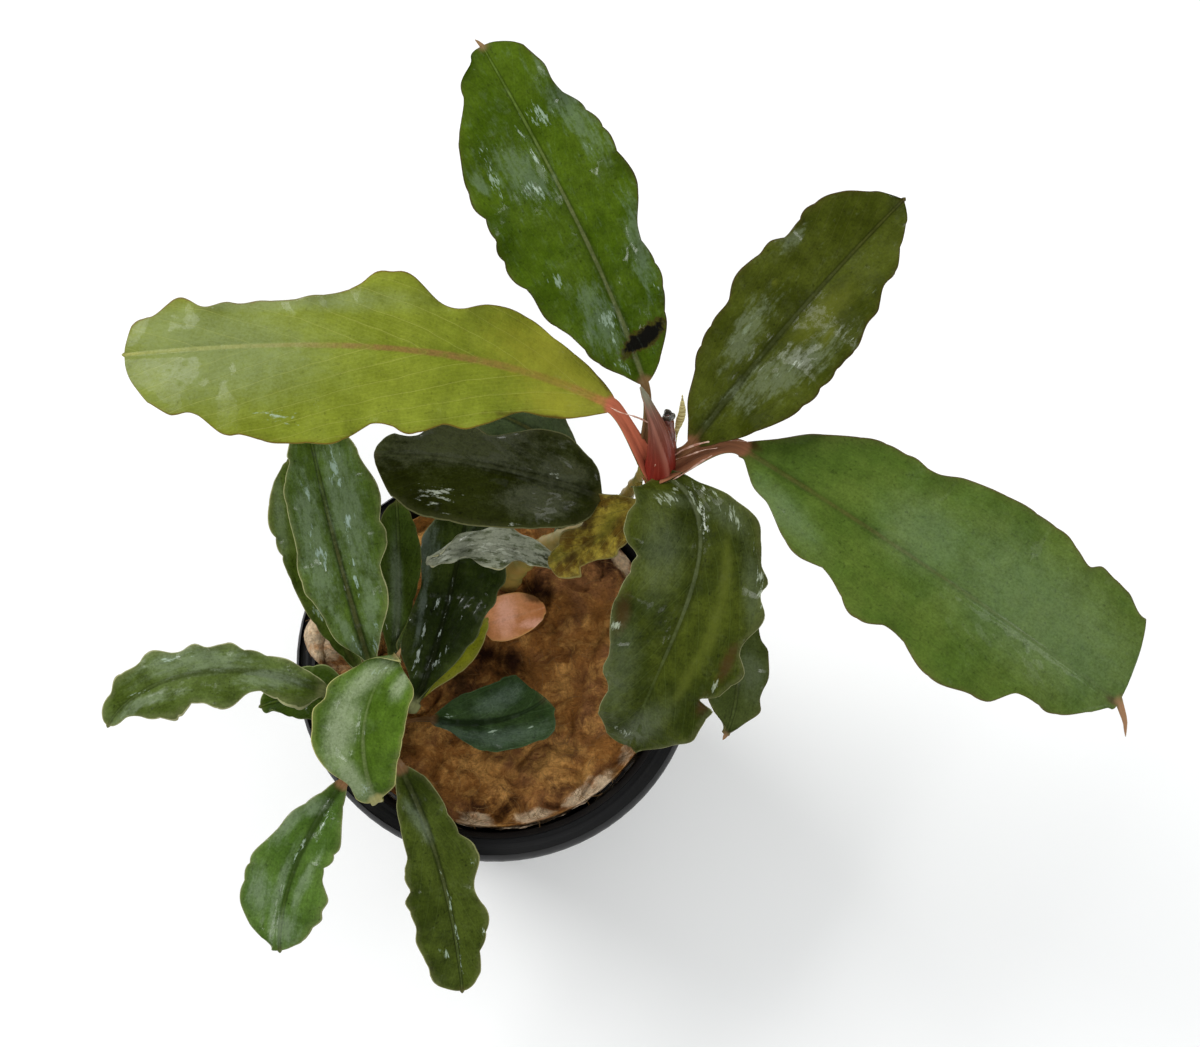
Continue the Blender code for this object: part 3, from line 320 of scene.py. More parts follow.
# Each leaf's own look: its slot in the record, its stalk's colour, and what differs from its finish
LOOKS = {
    "tall_leaf_back": dict(slot="leaf_bright", stalk=(116, 90, 58), margin=(70, 60, 30), stalk_reach=0.05,
        midrib=(100, 106, 66), rib=0.8, glow=0, glint=(148, 168, 146), film=(124, 142, 122), streak=0.9),
    "tall_leaf_back_right": dict(slot="leaf_olive", stalk=(130, 92, 62), stalk_reach=0.07, haze=0.4,
        groove=0.75, midrib=(66, 72, 40), rib=0.5, glow=0.1, glint=(112, 124, 96), film=(112, 122, 94),
        crisp=0.4, streak=0.8, wet=0.3),
    "tall_leaf_right": dict(slot="leaf_green", stalk=(146, 98, 70), margin=(96, 84, 50), stalk_reach=0.05,
        wet=0.1, midrib=(86, 78, 40), groove=0.4, haze=0.26, rib=0.45, glow=0.12, veins=0.3,
        film=(116, 136, 102), rib_fade=0.5, crisp=0, streak=0.1, body=(66, 86, 28)),
    "tall_leaf_left": dict(slot="leaf_new", stalk=(178, 100, 74), stalk_reach=0.13, veins=0.7,
        vein_slant=2.6, vein_apart=6.5, groove=0, haze=0.5, glow=0.1, midrib=(128, 98, 54), rib=0.85,
        film=(128, 140, 100), rib_width=1.9, crisp=0, streak=0.1, yellow=(150, 142, 44), grain=0.65,
        wet=0.08),
    "tall_leaf_front": dict(slot="leaf_green", stalk=(84, 78, 34), body=(40, 48, 8), second=(64, 72, 18),
        margin=(132, 132, 92), midrib=(110, 118, 84), wet=0.25, mottle=0.8, groove=0.4, haze=0.2, rib=0.35,
        margin_width=0.1, film=(112, 124, 90), glint=(160, 170, 146), rib_fade=0.75, crisp=0, streak=0.2,
        grain=1.2, yellow=(90, 98, 34)),
    "tall_leaf_behind_front": dict(slot="leaf_green", stalk=(84, 80, 38), body=(60, 70, 28),
        second=(80, 90, 46), haze=0.36, film=(112, 124, 90)),
    "tall_leaf_dark": dict(slot="leaf_dark", stalk=(70, 70, 34), haze=0.3, groove=0.5,
        margin=(104, 104, 68), rib=0.55, film=(110, 114, 88), second=(48, 54, 16), glint=(190, 196, 180),
        crisp=0.45, grain=1.2, wet=0.4, body=(30, 34, 4), midrib=(72, 76, 52), rib_width=1.3),
    "tall_leaf_behind_dark": dict(slot="leaf_green", stalk=(80, 84, 50), body=(58, 70, 42),
        second=(78, 88, 62)),
    "tall_leaf_low": dict(slot="leaf_dark", stalk=(100, 104, 66), body=(58, 66, 36), second=(92, 100, 68),
        margin=(172, 168, 128), haze=0.62, groove=0.3, film=(180, 184, 162), streak=1.3,
        glint=(200, 204, 184), crisp=0.5, grain=0.9),
    "tall_leaf_decaying": dict(slot="leaf_decaying", stalk=(140, 124, 58), mottle=1, veins=1.2, groove=0.3,
        body=(96, 72, 22), second=(170, 150, 56), vein=(168, 156, 84), rib=0.4, patch=1.7, vein_apart=2.6,
        grain=1.3),
    "low_leaf_back": dict(slot="leaf_bright", stalk=(120, 128, 76), body=(58, 76, 22), second=(80, 102, 38),
        margin=(164, 164, 116), midrib=(92, 92, 52), groove=0.95, haze=0.5, rib=0.5, film=(118, 136, 104),
        glint=(156, 178, 164), grain=1.3, streak=0.6),
    "low_leaf_back_left": dict(slot="leaf_green", stalk=(100, 104, 62), body=(58, 73, 18),
        second=(84, 100, 42), margin=(140, 138, 92), rib=0.4, grain=1.3),
    "low_leaf_back_narrow": dict(slot="leaf_green", stalk=(80, 86, 44), body=(46, 60, 12),
        second=(66, 84, 30), margin=(92, 96, 50), midrib=(56, 66, 24), wet=0.4, grain=1.3),
    "low_leaf_back_right": dict(slot="leaf_dark", stalk=(110, 112, 74), body=(28, 38, 8),
        second=(60, 72, 28), margin=(84, 90, 56), wet=0.8, groove=0.8, haze=0.36, rib=0.3, grain=1.4,
        streak=0.6, film=(112, 124, 112), glint=(176, 188, 176)),
    "low_leaf_left": dict(slot="leaf_green", stalk=(96, 100, 60), body=(60, 74, 22), second=(92, 108, 56),
        margin=(156, 156, 114), midrib=(62, 72, 34), haze=0.34, rib=0.4, streak=0.6, grain=1.2),
    "low_leaf_left_under": dict(slot="leaf_bright", stalk=(100, 112, 54), body=(42, 60, 8),
        second=(64, 84, 22), margin=(140, 150, 96)),
    "low_leaf_top": dict(slot="leaf_bright", stalk=(150, 144, 90), body=(60, 84, 18), second=(84, 110, 36),
        margin=(176, 172, 112), midrib=(132, 142, 96), groove=0.25, haze=0.66, film=(152, 164, 130),
        rib=0.35, streak=0.15, crisp=0, grain=1.2),
    "low_leaf_front_left": dict(slot="leaf_bright", stalk=(124, 92, 62), body=(60, 85, 28),
        second=(88, 114, 50), margin=(132, 136, 92), midrib=(52, 68, 28), stalk_reach=0.03, groove=0.75,
        haze=0.36, rib=0.4, glow=0.05, streak=0.4, grain=1.2),
    "low_leaf_front_right": dict(slot="leaf_green", stalk=(120, 90, 60), body=(44, 54, 11),
        second=(68, 80, 26), margin=(136, 136, 92), midrib=(80, 86, 50), stalk_reach=0.03, groove=0.8,
        rib=0.5, glow=0.05, grain=1.3, crisp=0.1),
    "low_leaf_right": dict(slot="leaf_dark", stalk=(84, 58, 32), body=(26, 42, 14), second=(56, 74, 40),
        midrib=(26, 40, 16), margin=(70, 90, 56), rib=0.3, vein=(74, 96, 62), haze=0.2, veins=0.8,
        grain=1.5, groove=0.8, film=(120, 140, 124)),
    "low_leaf_yellow": dict(slot="leaf_decaying", stalk=(130, 132, 40), body=(106, 112, 14),
        second=(134, 136, 34), groove=0.2),
    "faded_leaf": dict(slot="leaf_faded", stalk=(180, 124, 80), margin=(200, 150, 88), groove=0, veins=0.15,
        mottle=0.9, patch=5, stalk_reach=0.01, grain=0.4, haze=0.8, film=(238, 178, 152),
        glint=(234, 190, 164), crisp=0.1, body=(190, 122, 74), second=(214, 150, 104)),
}
# Marks on the blades by kind: place along and across the midrib, half-length, half-width, and turn.
# Two of the kinds place painted light: a grey painted sheen and painted glints
MARKS = {
    "tall_leaf_back": dict(dead=((5.2, 1.6, 2.8, 1, 71),),
        glint=((33.3, 1.7, 1.8, 1.3, -23), (29.7, -1, 4.4, 0.4, -5), (27.4, 4.9, 1.2, 0.4, -3),
            (29.6, -6.5, 3.6, 0.8, 9), (26.2, -3, 2.2, 1, -40), (15.8, -5.3, 1.5, 0.8, -16),
            (8.6, -1.5, 2.9, 1.1, 1), (9.9, 5.1, 1.2, 0.3, 3), (3.1, -1.9, 1.6, 0.6, -28)),
        haze=((29.6, -8.1, 1.6, 0.7, -16), (9.4, -2.5, 4, 1.8, -2), (15.3, 5.2, 4.7, 1, 11),
            (28.5, -3.1, 3.5, 2.1, -19), (32, 5.2, 5.4, 1.4, -6))),
    "tall_leaf_back_right": dict(
        haze=((14.4, -3, 4.3, 1.3, -10), (13.6, 3.3, 6.6, 1.7, 21), (25.7, -6.2, 1.5, 0.8, 7)),
        glint=((15.2, -3.2, 3.3, 0.7, -4), (14.1, 3.4, 4, 0.5, 24), (27.5, 5.3, 0.5, 0.4, 17),
            (21.9, 7, 0.5, 0.5, 8)),
        yellow=((20.2, 4.6, 1.9, 0.7, -5), (20.8, -4.2, 0.5, 0.3, -16), (21.6, 2.4, 4.6, 1.7, 4))),
    "tall_leaf_right": dict(haze=((8.7, 4, 5.6, 1.8, 16), (40, -3, 15, 6.5, 4), (24, -3, 6, 4, 0)),
        brown=((0.4, -1, 1.4, 0.6, 0), (52.9, 0.4, 0.9, 0.5, 0))),
    "tall_leaf_left": dict(glint=((39.6, -8.9, 2.5, 0.7, 10),),
        haze=((39.4, 5.3, 13, 1.5, -2), (47, -1, 12, 6, 0), (52, 2, 6, 4, 0)),
        yellow=((8, 2.6, 7.6, 4.6, 10), (6, -2.4, 5, 2.2, -6)),
        brown=((3.4, 3.5, 3.4, 0.5, 40), (10, 6.7, 4.6, 0.5, 16), (8, -4.8, 6, 0.4, -12))),
    "tall_leaf_front": dict(
        glint=((6, 2.8, 2.4, 0.9, 55), (7.4, -0.5, 3.6, 0.7, -3), (5.6, -2.2, 1.8, 0.5, -30),
            (8.4, -3.6, 2.3, 0.7, -45), (13.7, -7.3, 2.5, 0.6, -23), (24, 6.9, 0.9, 0.7, -74),
            (38.3, 1.1, 1.8, 0.8, -69), (25.7, -6.6, 1.5, 0.5, 8), (4.2, 1, 1.8, 0.4, 40)),
        haze=((5.9, 2.2, 1.9, 1.3, 78), (8.4, -3.6, 2.8, 1.2, -47), (13.2, 4.4, 6, 2.4, -4),
            (29.2, 4.4, 6, 2, -12), (15.3, -6.9, 3.6, 1, -22), (35.2, -1, 5, 1.6, 20)),
        brown=((22.2, 6.6, 2.4, 0.9, -10), (22.7, -7, 2.2, 0.7, 0), (28.4, -6.4, 1.4, 0.7, 0)),
        yellow=((14, -3.4, 3.2, 0.7, -8), (20.4, -3.9, 5, 0.8, -3), (26.6, -3.4, 3.6, 0.7, 5))),
    "tall_leaf_behind_front": dict(haze=((12.8, -1.7, 2.9, 1.5, -12),)),
    "tall_leaf_dark": dict(
        haze=((18.5, 2.6, 9.6, 3.2, -7), (5.2, 1.7, 3.3, 1.5, 3), (7.4, -2.8, 4.5, 2.1, -9)),
        glint=((20.2, -4.6, 2.6, 1.3, 3), (20.6, -4.2, 1.6, 0.7, 0), (19.2, -6.5, 0.8, 0.4, 21),
            (10.1, -6.6, 1.1, 0.2, -6), (6.5, 1.1, 1.1, 0.5, 35))),
    "tall_leaf_low": dict(glint=((14.6, -0.2, 2.7, 0.9, 2), (7.3, -0.4, 4.8, 1.2, 11)),
        haze=((9.4, 0.4, 8.6, 3, 2),)),
    "tall_leaf_decaying": dict(yellow=((4.8, 0.4, 3.4, 0.9, -19), (13.8, 0.4, 1.8, 1, 0)),
        brown=((7.2, 2.4, 2, 1.1, 0), (2.6, -1.8, 1.4, 0.7, 30), (11.6, -0.6, 1.6, 0.6, 0))),
    "low_leaf_back": dict(
        haze=((21, 2.4, 9, 1.9, 0), (17.5, -2.6, 9, 1.6, 2), (7.5, 2, 5, 0.9, 10),
            (5.1, -1.5, 3.7, 0.6, -11)),
        glint=((25.9, 1.9, 2.8, 1, -5), (18.9, 2.2, 2.8, 0.6, 12), (12, 1.3, 2.9, 0.4, 1),
            (16.5, -2.2, 3.4, 0.8, -11), (23.4, -1.8, 2, 0.5, -8), (3.6, -0.9, 2.9, 0.2, -11),
            (3.4, 1.5, 2.8, 0.5, 17))),
    "low_leaf_back_left": dict(haze=((21.3, -2.6, 5, 0.7, 7),), glint=((9.1, -1.4, 1.8, 0.4, -10),)),
    "low_leaf_back_narrow": dict(haze=((9.1, -0.2, 6.4, 0.7, -2),)),
    "low_leaf_back_right": dict(
        glint=((13.5, -1.2, 1.3, 0.4, 0), (16.1, -0.1, 1.1, 0.4, 12), (5.3, -1.8, 2.6, 0.4, -7),
            (5.8, 0.7, 1.9, 0.5, 17), (10.2, 0, 4.9, 0.2, 1), (8.6, -1.9, 4, 0.2, -8),
            (8.8, 1.7, 3.6, 0.2, 8)), haze=((19.5, -4.1, 3.6, 1.3, -5), (12.5, -3, 5, 0.35, -5))),
    "low_leaf_left": dict(
        haze=((16.1, 1.7, 6.3, 1.4, 5), (24, -1.2, 5, 0.6, 8), (6.9, -0.5, 3.7, 1.1, -11)),
        glint=((18.3, 2.4, 2.9, 0.4, 4), (24.4, 0.2, 2.1, 0.3, 15))),
    "low_leaf_top": dict(
        haze=((10.5, -2.9, 4.6, 1.8, 8), (4.6, -2, 4.2, 1.2, -18), (16.2, -1.6, 4.4, 1.1, 24),
            (18, 2.6, 2.2, 0.8, 0)), glint=((2.4, -0.8, 1.4, 0.5, 0), (18.2, -0.6, 1.6, 0.3, 30))),
    "low_leaf_front_left": dict(
        haze=((4.6, 1.4, 1.6, 1, 36), (7, 2.8, 3.1, 0.8, 13), (15.6, 1, 5.5, 0.5, 1),
            (15.9, 3.4, 2.6, 1.2, -20), (13.8, -1.7, 4, 0.6, 7), (20, -0.6, 2.2, 1.6, 0)),
        glint=((9.8, 0.3, 2.8, 0.3, 7), (6.2, -1, 2.6, 0.3, -12))),
    "low_leaf_front_right": dict(
        glint=((20.6, -0.2, 8.3, 0.22, -1), (14.2, -4, 0.9, 0.5, -14), (22.1, -3.7, 0.5, 0.4, -19),
            (24.5, 1.5, 1.3, 0.4, -17)), yellow=((3.5, 1.8, 0.4, 0.5, -10),),
        haze=((7.1, 0.7, 3, 0.7, -10),)),
    "low_leaf_right": dict(
        glint=((2.2, -0.8, 1.2, 0.3, -1), (7.6, 1.4, 1, 0.4, 11), (12.4, 2.2, 0.9, 0.4, 20),
            (1.8, 1, 1.4, 0.3, 20)),
        haze=((3.6, 1.4, 3, 0.7, 16), (9.6, -2.4, 3.8, 1.2, -10), (9, 2.4, 4.4, 1.2, 8))),
    "faded_leaf": dict(haze=((3.4, -0.6, 1.3, 2.6, 14), (6.4, 1.6, 1.8, 0.6, 8)),
        brown=((7.6, -1.8, 1.6, 0.8, 30),)),
}
# What the tissue of every leaf takes
LEAF_COLOURS = ("body", "second", "vein", "midrib", "margin", "stalk", "under", "tip", "yellow", "brown",
                "dead", "film", "glint")
LEAF_NUMBERS = ("mottle", "veins", "vein_apart", "vein_slant", "stalk_reach", "glow", "groove", "rib",
                "margin_width", "haze", "crisp", "streak", "patch", "rib_width", "rib_fade", "grain", "wet",
                "rough")


def colour_setting(name, description, default):
    """A colour that the panel shows."""
    return FloatVectorProperty(name=name, description=description, subtype="COLOR", default=default, min=0,
                               max=1)


class PotSettings(PropertyGroup):
    """Sizes and colour of the net pot."""

    rim_radius: FloatProperty(name="Rim radius", description="Outer radius of the rim",
                              default=POT_HIGH.x, min=0.01, unit="LENGTH")
    height: FloatProperty(name="Height", description="Height of the pot to the top of its rim",
                          default=POT_HIGH.z, min=0.01, unit="LENGTH")
    slots: IntProperty(name="Slots", description="Slots round the wall in each row", default=16, min=6)
    wall: FloatProperty(name="Wall", description="Thickness of the plastic", default=WALL*MM, min=0.0003,
                        unit="LENGTH")
    colour: colour_setting("Plastic", "Colour of the plastic", srgb(9, 9, 10))


class WoolSettings(PropertyGroup):
    """Colours and fibres of the rock wool."""

    brown: colour_setting("Stained wool", "Colour of most of the wool", srgb(148, 98, 46))
    # painted light as well as staining: this ochre is laid on the raised lumps
    ochre: colour_setting("Ochre wool", "Colour of the lighter stained lumps", srgb(196, 144, 78))
    # painted shade as well as staining: this colour darkens the pit, the hollows and the wool under the
    # leaves
    dark: colour_setting("Dark stain and shade", "Colour of the pits and stains", srgb(54, 28, 12))
    cream: colour_setting("Clean wool", "Colour of clean wool at the rim", srgb(220, 194, 160))
    density: FloatProperty(name="Fibres", description="Loose fibres on a square metre of wool",
                           default=700000, min=0)
    fibre_length: FloatProperty(name="Fibre length", description="Length of a loose fibre", default=0.0017,
                                min=0.0002, unit="LENGTH")
    seed: IntProperty(name="Seed", description="Chooses where the fibres lie", default=4)


class LeafSettings(PropertyGroup):
    """Colours and surface of the leaves."""

    bright: colour_setting("Bright green", "Freshly grown leaves", srgb(53, 73, 4))
    olive: colour_setting("Olive green", "The leaf at the back right", srgb(47, 54, 5))
    green: colour_setting("Green", "Full-grown leaves", srgb(68, 86, 28))
    new: colour_setting("Yellow green", "The youngest open leaf", srgb(104, 114, 30))
    dark: colour_setting("Dark green", "The oldest leaves", srgb(28, 32, 5))
    decaying: colour_setting("Decaying", "Leaves that rot away", srgb(76, 68, 14))
    faded: colour_setting("Faded", "The dead leaf on the wool", srgb(196, 134, 88))
    vein_apart: FloatProperty(name="Veins apart", description="Distance between side veins", default=0.0034,
                              min=0.0005, unit="LENGTH")
    wetness: FloatProperty(name="Wetness", description="How much of the leaves a film of water covers",
                           default=1, min=0, max=1, subtype="FACTOR")


class StemSettings(PropertyGroup):
    """Colours and rings of the stems."""

    bark: colour_setting("Bark", "Colour of the creeping stems", srgb(134, 124, 56))
    maroon: colour_setting("Maroon", "Colour of the rolled young leaf", srgb(120, 38, 28))
    straw: colour_setting("Straw", "Colour of the dry sheath", srgb(214, 202, 138))
    ring_apart: FloatProperty(name="Rings apart", description="Distance between leaf scars on a stem",
                              default=0.0028, min=0.0005, unit="LENGTH")


class StageSettings(PropertyGroup):
    """The floor and the light."""

    floor: colour_setting("Floor", "Colour of the floor", (0.95, 0.95, 0.94))
    sky: FloatProperty(name="Sky", description="Strength of the even light from all round", default=0.66,
                       min=0)
    window: FloatProperty(name="Window", description="Strength of the large soft light", default=2.6, min=0,
                          unit="POWER")


class Graph:
    """Adds nodes to a tree: each call joins a node's inputs and gives back one of its outputs."""

    def __init__(self, tree):
        self.tree = tree

    def fill(self, node, inputs):
        """Joins sockets to a node's inputs, and sets those that are given as plain values."""
        for key, value in dict(inputs).items():
            socket = node.inputs[key]
            if isinstance(value, bpy.types.NodeSocket):
                self.tree.links.new(value, socket)
            else:
                socket.default_value = (*value[:3], 1) if socket.type == "RGBA" else value

    def add(self, kind, inputs=(), out=0, **settings):
        node = self.tree.nodes.new(kind)
        for name, value in settings.items():
            setattr(node, name, value)
        self.fill(node, inputs)
        return node if out is None else node.outputs[out]

    def math(self, operation, *values, clamp=False):
        return self.add("ShaderNodeMath", enumerate(values), operation=operation, use_clamp=clamp)

    def times(self, *values, clamp=False):
        """Two values multiplied, and the third added to them if there is one."""
        return self.math("MULTIPLY_ADD" if len(values) == 3 else "MULTIPLY", *values, clamp=clamp)

    def plus(self, first, second):
        return self.math("ADD", first, second)

    def less(self, first, second):
        return self.math("SUBTRACT", first, second)

    def most(self, first, second):
        return self.math("MAXIMUM", first, second)

    def ease(self, value, low, high, to_low=0, to_high=1):
        """Eases value from low to high into another range."""
        inputs = {0: value, 1: low, 2: high, 3: to_low, 4: to_high}
        return self.add("ShaderNodeMapRange", inputs, interpolation_type="SMOOTHSTEP")

    def mix(self, share, under, over):
        """One colour laid over another, as strongly as the share says."""
        return self.add("ShaderNodeMix", {0: share, 6: under, 7: over}, out=2, data_type="RGBA")

    def shade(self, colour, value):
        """A colour made lighter or darker."""
        return self.add("ShaderNodeHueSaturation", {"Value": value, "Color": colour})

    def noise(self, place, size, detail=2, rough=0.5, warp=0):
        """Noise from 0 to 1 whose lumps are about that size in the place's own unit."""
        return self.add("ShaderNodeTexNoise", {"Vector": place, "Scale": 1/size, "Detail": detail,
                                               "Roughness": rough, "Distortion": warp})

    def split(self, vector):
        return self.add("ShaderNodeSeparateXYZ", {0: vector}, out=None).outputs

    def join(self, *parts):
        return self.add("ShaderNodeCombineXYZ", enumerate(parts))

    def scale(self, vector, factor):
        return self.add("ShaderNodeVectorMath", {0: vector, 3: factor}, operation="SCALE")

    def stretch(self, vector, factors):
        return self.add("ShaderNodeVectorMath", {0: vector, 1: factors}, operation="MULTIPLY")

    def attribute(self, name):
        """A vector that the mesh carries, for a material."""
        return self.add("ShaderNodeAttribute", out=1, attribute_name=name)

    def stored(self, name, data_type="FLOAT"):
        """A value that the mesh carries, for Geometry Nodes."""
        return self.add("GeometryNodeInputNamedAttribute", {"Name": name}, data_type=data_type)

    def millimetres(self):
        """Object coordinates in millimetres."""
        return self.scale(self.add("ShaderNodeTexCoord", out=3), 1/MM)


def new_group(name, kind, inputs, outputs):
    """A node group with those sockets, and the Graph, inputs and output node to fill it with."""
    tree = bpy.data.node_groups.new(name, kind)
    for side, sockets in (("INPUT", inputs), ("OUTPUT", outputs)):
        for label, socket_type, default in sockets:
            socket = tree.interface.new_socket(label, in_out=side, socket_type=socket_type)
            if default is not None and hasattr(socket, "default_value"):
                socket.default_value = default
    graph = Graph(tree)
    given = graph.add("NodeGroupInput", out=None).outputs
    result = graph.add("NodeGroupOutput", out=None)
    return graph, given, result


COLOUR, NUMBER = "NodeSocketColor", "NodeSocketFloat"
GEOMETRY, WHOLE, MATERIAL = "NodeSocketGeometry", "NodeSocketInt", "NodeSocketMaterial"
GREY = (0.5, 0.5, 0.5, 1)


def socket_label(key):
    """The socket that takes a table's key, such as Vein apart for vein_apart."""
    return key.replace("_", " ").capitalize()


def leaf_tissue_group():
    """Colour, roughness, wetness and relief of a leaf, from its place along and across the blade.

    The mesh carries four attributes: place (millimetres along, across and in from the margin), side (upper
    face, blade or stalk, share of the length), marks (tip, yellow, dead) and film (where painted sheen and
    painted glints lie, and brown marks).
    """
    inputs = [(socket_label(key), COLOUR, GREY) for key in LEAF_COLOURS]
    inputs += [(socket_label(key), NUMBER, 0.5) for key in LEAF_NUMBERS]
    outputs = (("Color", COLOUR, None), ("Roughness", NUMBER, None), ("Wet", NUMBER, None),
               ("Height", NUMBER, None))
    g, given, result = new_group("leaf_tissue", "ShaderNodeTree", inputs, outputs)
    along, across, margin = g.split(g.attribute("place"))
    tip, yellow, dead = g.split(g.attribute("marks"))
    upper, blade, share = g.split(g.attribute("side"))
    film, glint_marks, brown = g.split(g.attribute("film"))
    spot = g.millimetres()
    off = g.math("ABSOLUTE", across)

    # side veins leave the midrib at a slant and arch towards the tip
    wobble = g.times(g.less(g.noise(spot, 5), 0.5), 2.2)
    arch = g.times(g.times(off, off), 0.05)
    back = g.times(off, given["Vein slant"], arch)
    course = g.plus(g.less(along, back), wobble)
    beat = g.math("FRACT", g.math("DIVIDE", course, given["Vein apart"]))
    beat = g.math("ABSOLUTE", g.less(beat, 0.5))
    vein = g.ease(beat, 0, 0.045, 1, 0)
    fine = g.math("DIVIDE", course, g.times(given["Vein apart"], 0.23))
    fine_beat = g.math("ABSOLUTE", g.less(g.math("FRACT", fine), 0.5))
    fine_vein = g.ease(fine_beat, 0, 0.2, 1, 0)
    on_blade = g.ease(g.plus(blade, g.ease(off, 0.45, 1.5, 0, 0.3)), 0.5, 0.95)
    vein_share = g.times(g.times(fine_vein, 0.22, vein), given["Veins"])
    uneven_veins = g.times(on_blade, g.noise(spot, 7, 3))
    vein_share = g.times(vein_share, uneven_veins, clamp=True)

    # the tissue between them: soft patches, clouds, fibres along the veins, and grain
    near = g.scale(spot, g.math("DIVIDE", 1, given["Patch"]))
    patches = g.ease(g.noise(near, 1, 5, 0.6), 0.38, 0.64)
    tone = g.mix(g.times(patches, given["Mottle"]), given["Body"], given["Second"])
    flow = g.join(g.times(course, 0.12), off)
    streaks = g.noise(flow, 0.9, 3, 0.6)
    fibres = g.noise(flow, 0.2, 2, 0.6)
    grain = g.noise(spot, 0.3, 3, 0.7)
    clouds = g.noise(spot, 2.4, 5, 0.65)
    pores = g.ease(g.noise(spot, 0.5, 2), 0.62, 0.72)
    bright = g.plus(g.times(streaks, 0.4, -0.2), g.times(grain, 0.8))
    bright = g.times(clouds, 0.86, bright)
    bright = g.times(fibres, 0.4, bright)
    bright = g.times(pores, -0.3, bright)
    bright = g.times(g.less(bright, 1), given["Grain"], 1)
    tone = g.shade(tone, bright)
    tone = g.mix(g.times(vein_share, 0.8), tone, given["Vein"])

    # the midrib stands in a channel darkened with painted shade, and the stalk's colour runs up it
    fade = g.ease(share, 0, given["Stalk reach"])
    rib_tone = g.mix(fade, given["Stalk"], given["Midrib"])
    rib_tone = g.mix(g.ease(share, 0.45, 0.9, 0, 0.8), rib_tone, given["Vein"])
    rib_half = g.times(g.times(share, -0.24, 0.36), given["Rib width"])
    rib_kept = g.ease(share, 0.3, 0.9, 1, g.less(1, given["Rib fade"]))
    soft = g.times(g.less(streaks, 0.5), 0.3, off)
    glow = g.times(g.less(1, fade), g.ease(off, 0.3, 2.6))
    glow = g.times(g.less(g.less(1, fade), glow), given["Glow"])
    tone = g.mix(glow, tone, given["Stalk"])
    # painted shade: the body colour darkened in the channel on both sides of the raised rib
    channel = g.ease(soft, g.times(rib_half, 0.7), g.times(rib_half, 2.5), given["Groove"], 0)
    kept = g.times(rib_kept, g.ease(share, 0, 0.1, 0.3, 1))
    deep = g.shade(given["Body"], 0.3)
    tone = g.mix(g.times(channel, kept), tone, deep)
    worn = g.ease(g.noise(spot, 1.6, 3, 0.6), 0.3, 0.6, 0.5, 1)
    worn = g.times(worn, g.times(given["Rib"], rib_kept))
    rib = g.ease(soft, g.times(rib_half, 0.4), g.times(rib_half, 1.1), worn, 0)
    rib_light = g.shade(rib_tone, g.times(grain, 1.1, 0.4))
    tone = g.mix(rib, tone, rib_light)

    # margins, marks, the point and the lower face
    ragged = g.less(g.noise(spot, 0.8, 4, 0.7), 0.5)
    width = given["Margin width"]
    edge = g.ease(g.times(ragged, 0.14, margin), g.times(width, 0.5), width, 0.9, 0)
    tinge = g.ease(g.times(ragged, 1.2, margin), 0, 0.9, 0.16, 0)
    tone = g.mix(g.most(edge, tinge), tone, given["Margin"])
    blotch = g.times(g.ease(g.times(ragged, 0.8, yellow), 0, 1.1), 0.5)
    tone = g.mix(blotch, tone, given["Yellow"])
    burnt = g.ease(g.times(ragged, 0.8, brown), 0.1, 0.9, 0, 0.8)
    tone = g.mix(burnt, tone, given["Brown"])
    stalk_lines = g.join(g.times(along, 0.12), g.times(across, 2.4))
    lined = g.times(g.noise(stalk_lines, 0.7, 3, 0.6), 0.9, 0.52)
    stalk_tone = g.shade(given["Stalk"], lined)
    tone = g.mix(on_blade, stalk_tone, tone)
    tone = g.mix(g.ease(upper, 0.9, 0.1, 0, 0.8), tone, given["Under"])
    decay = g.times(ragged, 1.1, dead)
    rot = g.ease(decay, 0.34, 0.62)
    tone = g.mix(g.ease(decay, 0.18, 0.4, 0, 0.7), tone, given["Brown"])
    tone = g.mix(rot, tone, given["Dead"])

    # painted light: a grey painted sheen where the marks lie, and broken painted glints
    brushed = g.join(g.times(along, 0.3), across)
    weave = g.less(g.noise(brushed, 0.7, 4, 0.7), 0.5)
    clouded = g.less(clouds, 0.5)
    uneven = g.plus(given["Crisp"], 0.45)
    broken = g.times(clouded, 1.1, g.times(ragged, 0.4))
    shape = g.times(broken, uneven, film)
    shape = g.times(g.times(weave, given["Streak"]), 2, shape)
    haze = g.ease(shape, g.times(given["Crisp"], 0.26, 0.04), g.times(given["Crisp"], -0.5, 1))
    crackle = g.times(g.times(weave, given["Streak"]), 4, 0.9)
    haze = g.times(haze, g.times(ragged, 0.8, crackle), clamp=True)
    haze = g.times(haze, g.times(grain, 1.5, 0.25), clamp=True)
    tone = g.mix(g.times(haze, given["Haze"]), tone, given["Film"])
    # painted glints: broken flecks of highlight laid into the colour where the glint marks lie
    glint_pattern = g.times(g.less(glint_marks, 1), 0.22, g.noise(brushed, 0.5, 4, 0.7))
    glint = g.times(g.ease(glint_pattern, 0.46, 0.56), g.ease(glint_marks, 0.08, 0.35))
    tone = g.mix(g.times(glint, g.times(weave, 1.2, 0.7), clamp=True), tone, given["Glint"])
    tone = g.mix(tip, tone, given["Tip"])

    # water lies in broken patches, and everywhere on a glint
    pools = g.ease(g.noise(spot, 3.6, 5, 0.65), 0.55, 0.62)
    droplets = g.ease(g.noise(spot, 0.6, 3, 0.65), 0.42, 0.58, 0.2, 1)
    wet = g.times(g.times(pools, droplets), given["Wet"])
    wet = g.most(wet, g.most(glint, g.times(haze, 0.4)))
    dry = g.most(rot, tip)
    wet = g.times(wet, g.less(1, dry), clamp=True)
    rough = g.times(g.noise(spot, 1.1, 2), 0.16, g.less(given["Rough"], 0.08))
    rough = g.times(wet, -0.10, rough)
    rough = g.times(dry, 0.25, rough)

